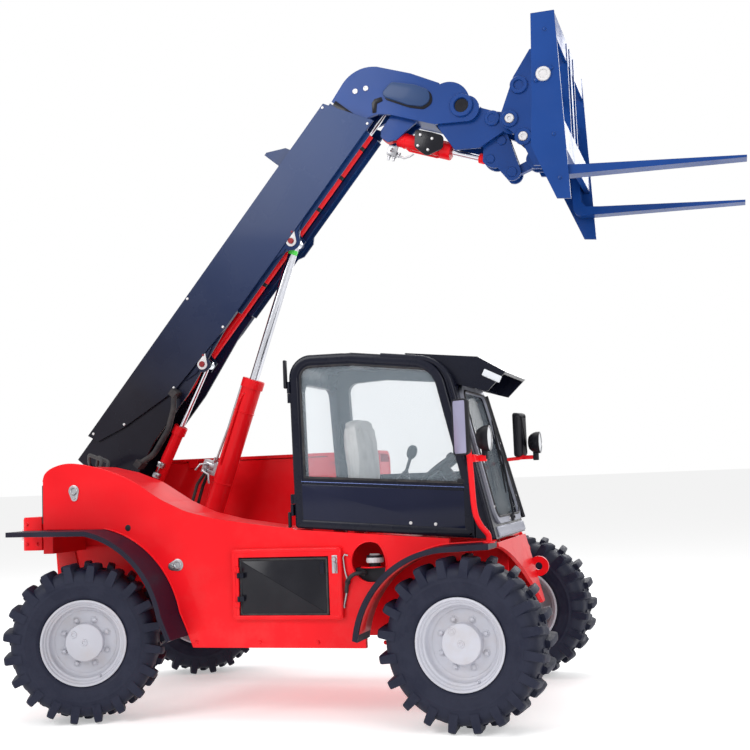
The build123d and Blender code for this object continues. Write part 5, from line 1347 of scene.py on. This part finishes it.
def tilt_trim():
    """Gland, pipe, valve block and rod-eye collar of the tilting cylinder."""
    ram = Ram(TILT_PIN, CRANK_EYE, BOOM_Y)
    cap = [(0.0442, 0.335), (0.054, 0.345), (0.054, 0.404), (0.05, 0.41), (0.024, 0.41), (0.0204, 0.406)]
    gland = Shape().lathe(cap, ram.matrix, 40)
    gland.lathe([(0.0442, 0.1), (0.0475, 0.104), (0.0475, 0.114), (0.0442, 0.118)], ram.matrix, 40)
    ram.pipe(gland, 0.007, 10, (0.13, -0.042), (0.15, -0.052), (0.33, -0.052), (0.352, -0.044))
    gland.done("tilt_gland", "body_red", "tilt_barrel")
    block = ram.beside(0.05, -0.078)
    below = -ram.behind
    valve = Shape().box((0.058, 0.062, 0.06), frame_of(block, ram.run, RIGHT), 0.005)
    union = [(0.0115, 0), (0.0115, 0.012), (0.008, 0.014), (0.008, 0.03), (0, 0.032)]
    for up, drop in ((0.016, 0.028), (-0.016, 0.028), (0.04, 0.0)):
        valve.lathe(union, frame_of(block + ram.run * up + below * drop, below), 6)
    plug = [(0.013, 0), (0.013, 0.012), (0.009, 0.016), (0.009, 0.036), (0, 0.037)]
    valve.lathe(plug, frame_of(block + RIGHT * 0.029, RIGHT), 20)
    bend = ((0.046, 0.02), (0.08, 0.026), (0.11, 0.008), (0.132, -0.014))
    valve.tube([block + ram.run * up + below * drop for up, drop in bend], 0.0065, 10)
    valve.done("tilt_valve", "steel", "tilt_barrel")
    collar = [(0.0204, -0.03), (0.03, -0.024), (0.03, 0.01), (0.026, 0.016)]
    eye = Shape().lathe(collar, frame_of(ram.eye - ram.run * 0.052, ram.run), 32)
    eye.done("tilt_rod_eye_collar", "body_red", "tilt_rod")


def carriage_trim():
    """White pins with their boss rings, the shaft's ring nut, bolts and the crank's pin caps."""
    pins, rings, bolts = Shape(), Shape(), Shape()
    ring = [(0.05, -0.002), (0.05, 0.008), (0.046, 0.012), (0.03, 0.012), (0.028, 0.009)]
    pin = [(0.0275, 0.004), (0.0275, 0.014), (0.024, 0.018), (0.012, 0.018), (0.0105, 0.014), (0, 0.014)]
    for x, z in ((2.344, 3.159), (2.27, 3.274)):
        rings.lathe(ring, on_wall(BRACKET_Y, x, z), 40)
        pins.lathe(pin, on_wall(BRACKET_Y, x, z), 40)
    boss = [(0.052, -0.004), (0.052, 0.01), (0.048, 0.014), (0.03, 0.014), (0.027, 0.004), (0, 0.004)]
    rings.lathe(boss, on_wall(BRACKET_Y, 2.333, 3.466), 40)
    rings.done("carriage_boss_rings", "head_blue", "carriage")
    pins.done("carriage_pins", "pin_white", "carriage", "steel")
    m = on_wall(PLATE_Y, 2.541, 3.354)
    nut = [(0.04, 0), (0.04, 0.012), (0.036, 0.016), (0.025, 0.016), (0.022, 0.01), (0, 0.01)]
    Shape().lathe(nut, m, 44).done("shaft_nut", "pin_white", "carriage", "steel")
    ears = Shape()
    for turn in (math.radians(35), math.radians(215)):
        reach = Vector((math.cos(turn), math.sin(turn), 0)) * 0.047 + Vector((0, 0, 0.005))
        ears.box(
            (0.026, 0.022, 0.01), m @ Matrix.Translation(reach) @ Matrix.Rotation(turn, 4, "Z"), 0.004,
        )
    ears.done("shaft_nut_ears", "head_blue", "carriage")
    for x, z in ((2.56, 3.6), (2.58, 3.02), (2.6, 2.78)):
        bolts.bolt(at(x, PLATE_Y, z), RIGHT, 0.008, 0.006)
    bolts.done("carriage_bolts", "head_blue", "carriage")
    nose = [(0.046, 0), (0.046, 0.008), (0.042, 0.012), (0.026, 0.012), (0.024, 0.008), (0, 0.008)]
    Shape().lathe(nose, on_wall(0.216, 2.156, 3.31), 36).done("nose_pin_ring", "head_blue", "inner_boom")
    caps = Shape()
    for x, z, r in ((*CRANK_EYE, 0.026), (2.251, 2.986, 0.03), (2.2, 3.18, 0.028)):
        caps.lathe([(r, -0.002), (r, 0.0045), (r - 0.003, 0.0078), (0, 0.0078)], on_wall(0.25, x, z), 32)
    caps.done("crank_pin_caps", "head_blue", "crank")


wheels()
fenders()
lashing_eyes()
hump_trim()
side_box()
filler()
tail()
door_trim()
screen_trim()
mirror_brackets()
mirrors()
work_lamps()
seat()
cab_inside()
boom_trim()
head_trim()
lift_trim()
level_trim()
tilt_trim()
carriage_trim()


# ---------------------------------------------------------------- camera, light and floor

CAMERA_AT = at(3.396, -6.433, 1.222)
VIEW_AZ, VIEW_EL, VIEW_ROLL = map(math.radians, (16.914, -5.1, -2.235))
LENS, SENSOR = 56.14, 36.0


def make_camera():
    """The camera, from its place, its turn about the machine, its height of view and its roll."""
    data = bpy.data.cameras.new("camera")
    data.lens = LENS
    data.sensor_width = SENSOR
    camera = add_object("camera", data)
    back = Vector((
        math.sin(VIEW_AZ) * math.cos(VIEW_EL), -math.cos(VIEW_AZ) * math.cos(VIEW_EL), math.sin(VIEW_EL)
    ))
    right = Vector((0, 0, 1)).cross(back).normalized()
    up = back.cross(right)
    c, s = math.cos(VIEW_ROLL), math.sin(VIEW_ROLL)
    right, up = right * c + up * s, up * c - right * s
    turn = Matrix((right, up, back)).transposed()
    camera.matrix_world = Matrix.Translation(CAMERA_AT) @ turn.to_4x4()
    bpy.context.scene.camera = camera


def make_world():
    """White wherever the camera, glass and gloss look, softer as a light."""
    world = bpy.data.worlds.new("studio")
    world.use_nodes = True
    bpy.context.scene.world = world
    tree = world.node_tree
    path = tree.nodes.new("ShaderNodeLightPath")
    seen = path.outputs["Is Camera Ray"]
    for kind in ("Is Transmission Ray", "Is Glossy Ray"):
        either = tree.nodes.new("ShaderNodeMath")
        either.operation = "MAXIMUM"
        tree.links.new(seen, either.inputs[0])
        tree.links.new(path.outputs[kind], either.inputs[1])
        seen = either.outputs[0]
    strength = tree.nodes.new("ShaderNodeMapRange")
    strength.inputs["To Min"].default_value = 0.55
    strength.inputs["To Max"].default_value = 1.0
    tree.links.new(seen, strength.inputs["Value"])
    background = tree.nodes["Background"]
    tree.links.new(strength.outputs[0], background.inputs["Strength"])
    background.inputs["Color"].default_value = (1, 1, 1, 1)


def area_light(name, place, target, size, power):
    """A rectangular lamp that shines from a place towards a target."""
    data = bpy.data.lights.new(name, "AREA")
    data.shape = "RECTANGLE"
    data.size, data.size_y = size
    data.energy = power
    lamp = add_object(name, data)
    lamp.location = place
    lamp.rotation_mode = "QUATERNION"
    lamp.rotation_quaternion = (Vector(target) - Vector(place)).to_track_quat("-Z", "Y")


def make_lights():
    """Soft lamps from the near side, from above and from the far side."""
    area_light("key", (-4.5, -7.5, 6.5), (0, 0, 1.0), (5, 4), 400)
    area_light("fill", (6.0, -6.0, 4.0), (0, 0, 1.2), (5, 4), 230)
    area_light("top", (0, 1.0, 8.0), (0, 0, 0), (7, 7), 260)
    area_light("back", (1.0, 8.0, 4.5), (0, 0, 1.5), (6, 4), 220)


def make_floor():
    """A wide white floor that gives off a little light of its own, so it stays pale far away."""
    reach = 400.0
    corners = [(-reach, -reach, 0), (reach, -reach, 0), (reach, reach, 0), (-reach, reach, 0)]
    mesh = bpy.data.meshes.new("floor")
    mesh.from_pydata(corners, [], [(0, 1, 2, 3)])
    floor = add_object("floor", mesh)
    material = bpy.data.materials.new("floor_white")
    material.use_nodes = True
    inputs = material.node_tree.nodes["Principled BSDF"].inputs
    inputs["Base Color"].default_value = (0.9, 0.9, 0.9, 1)
    inputs["Roughness"].default_value = 0.9
    inputs["Specular IOR Level"].default_value = 0.0
    inputs["Emission Color"].default_value = (1, 1, 1, 1)
    inputs["Emission Strength"].default_value = 0.4
    mesh.materials.append(material)


make_camera()
make_world()
make_lights()
make_floor()

bpy.context.scene.view_settings.view_transform = "Standard"
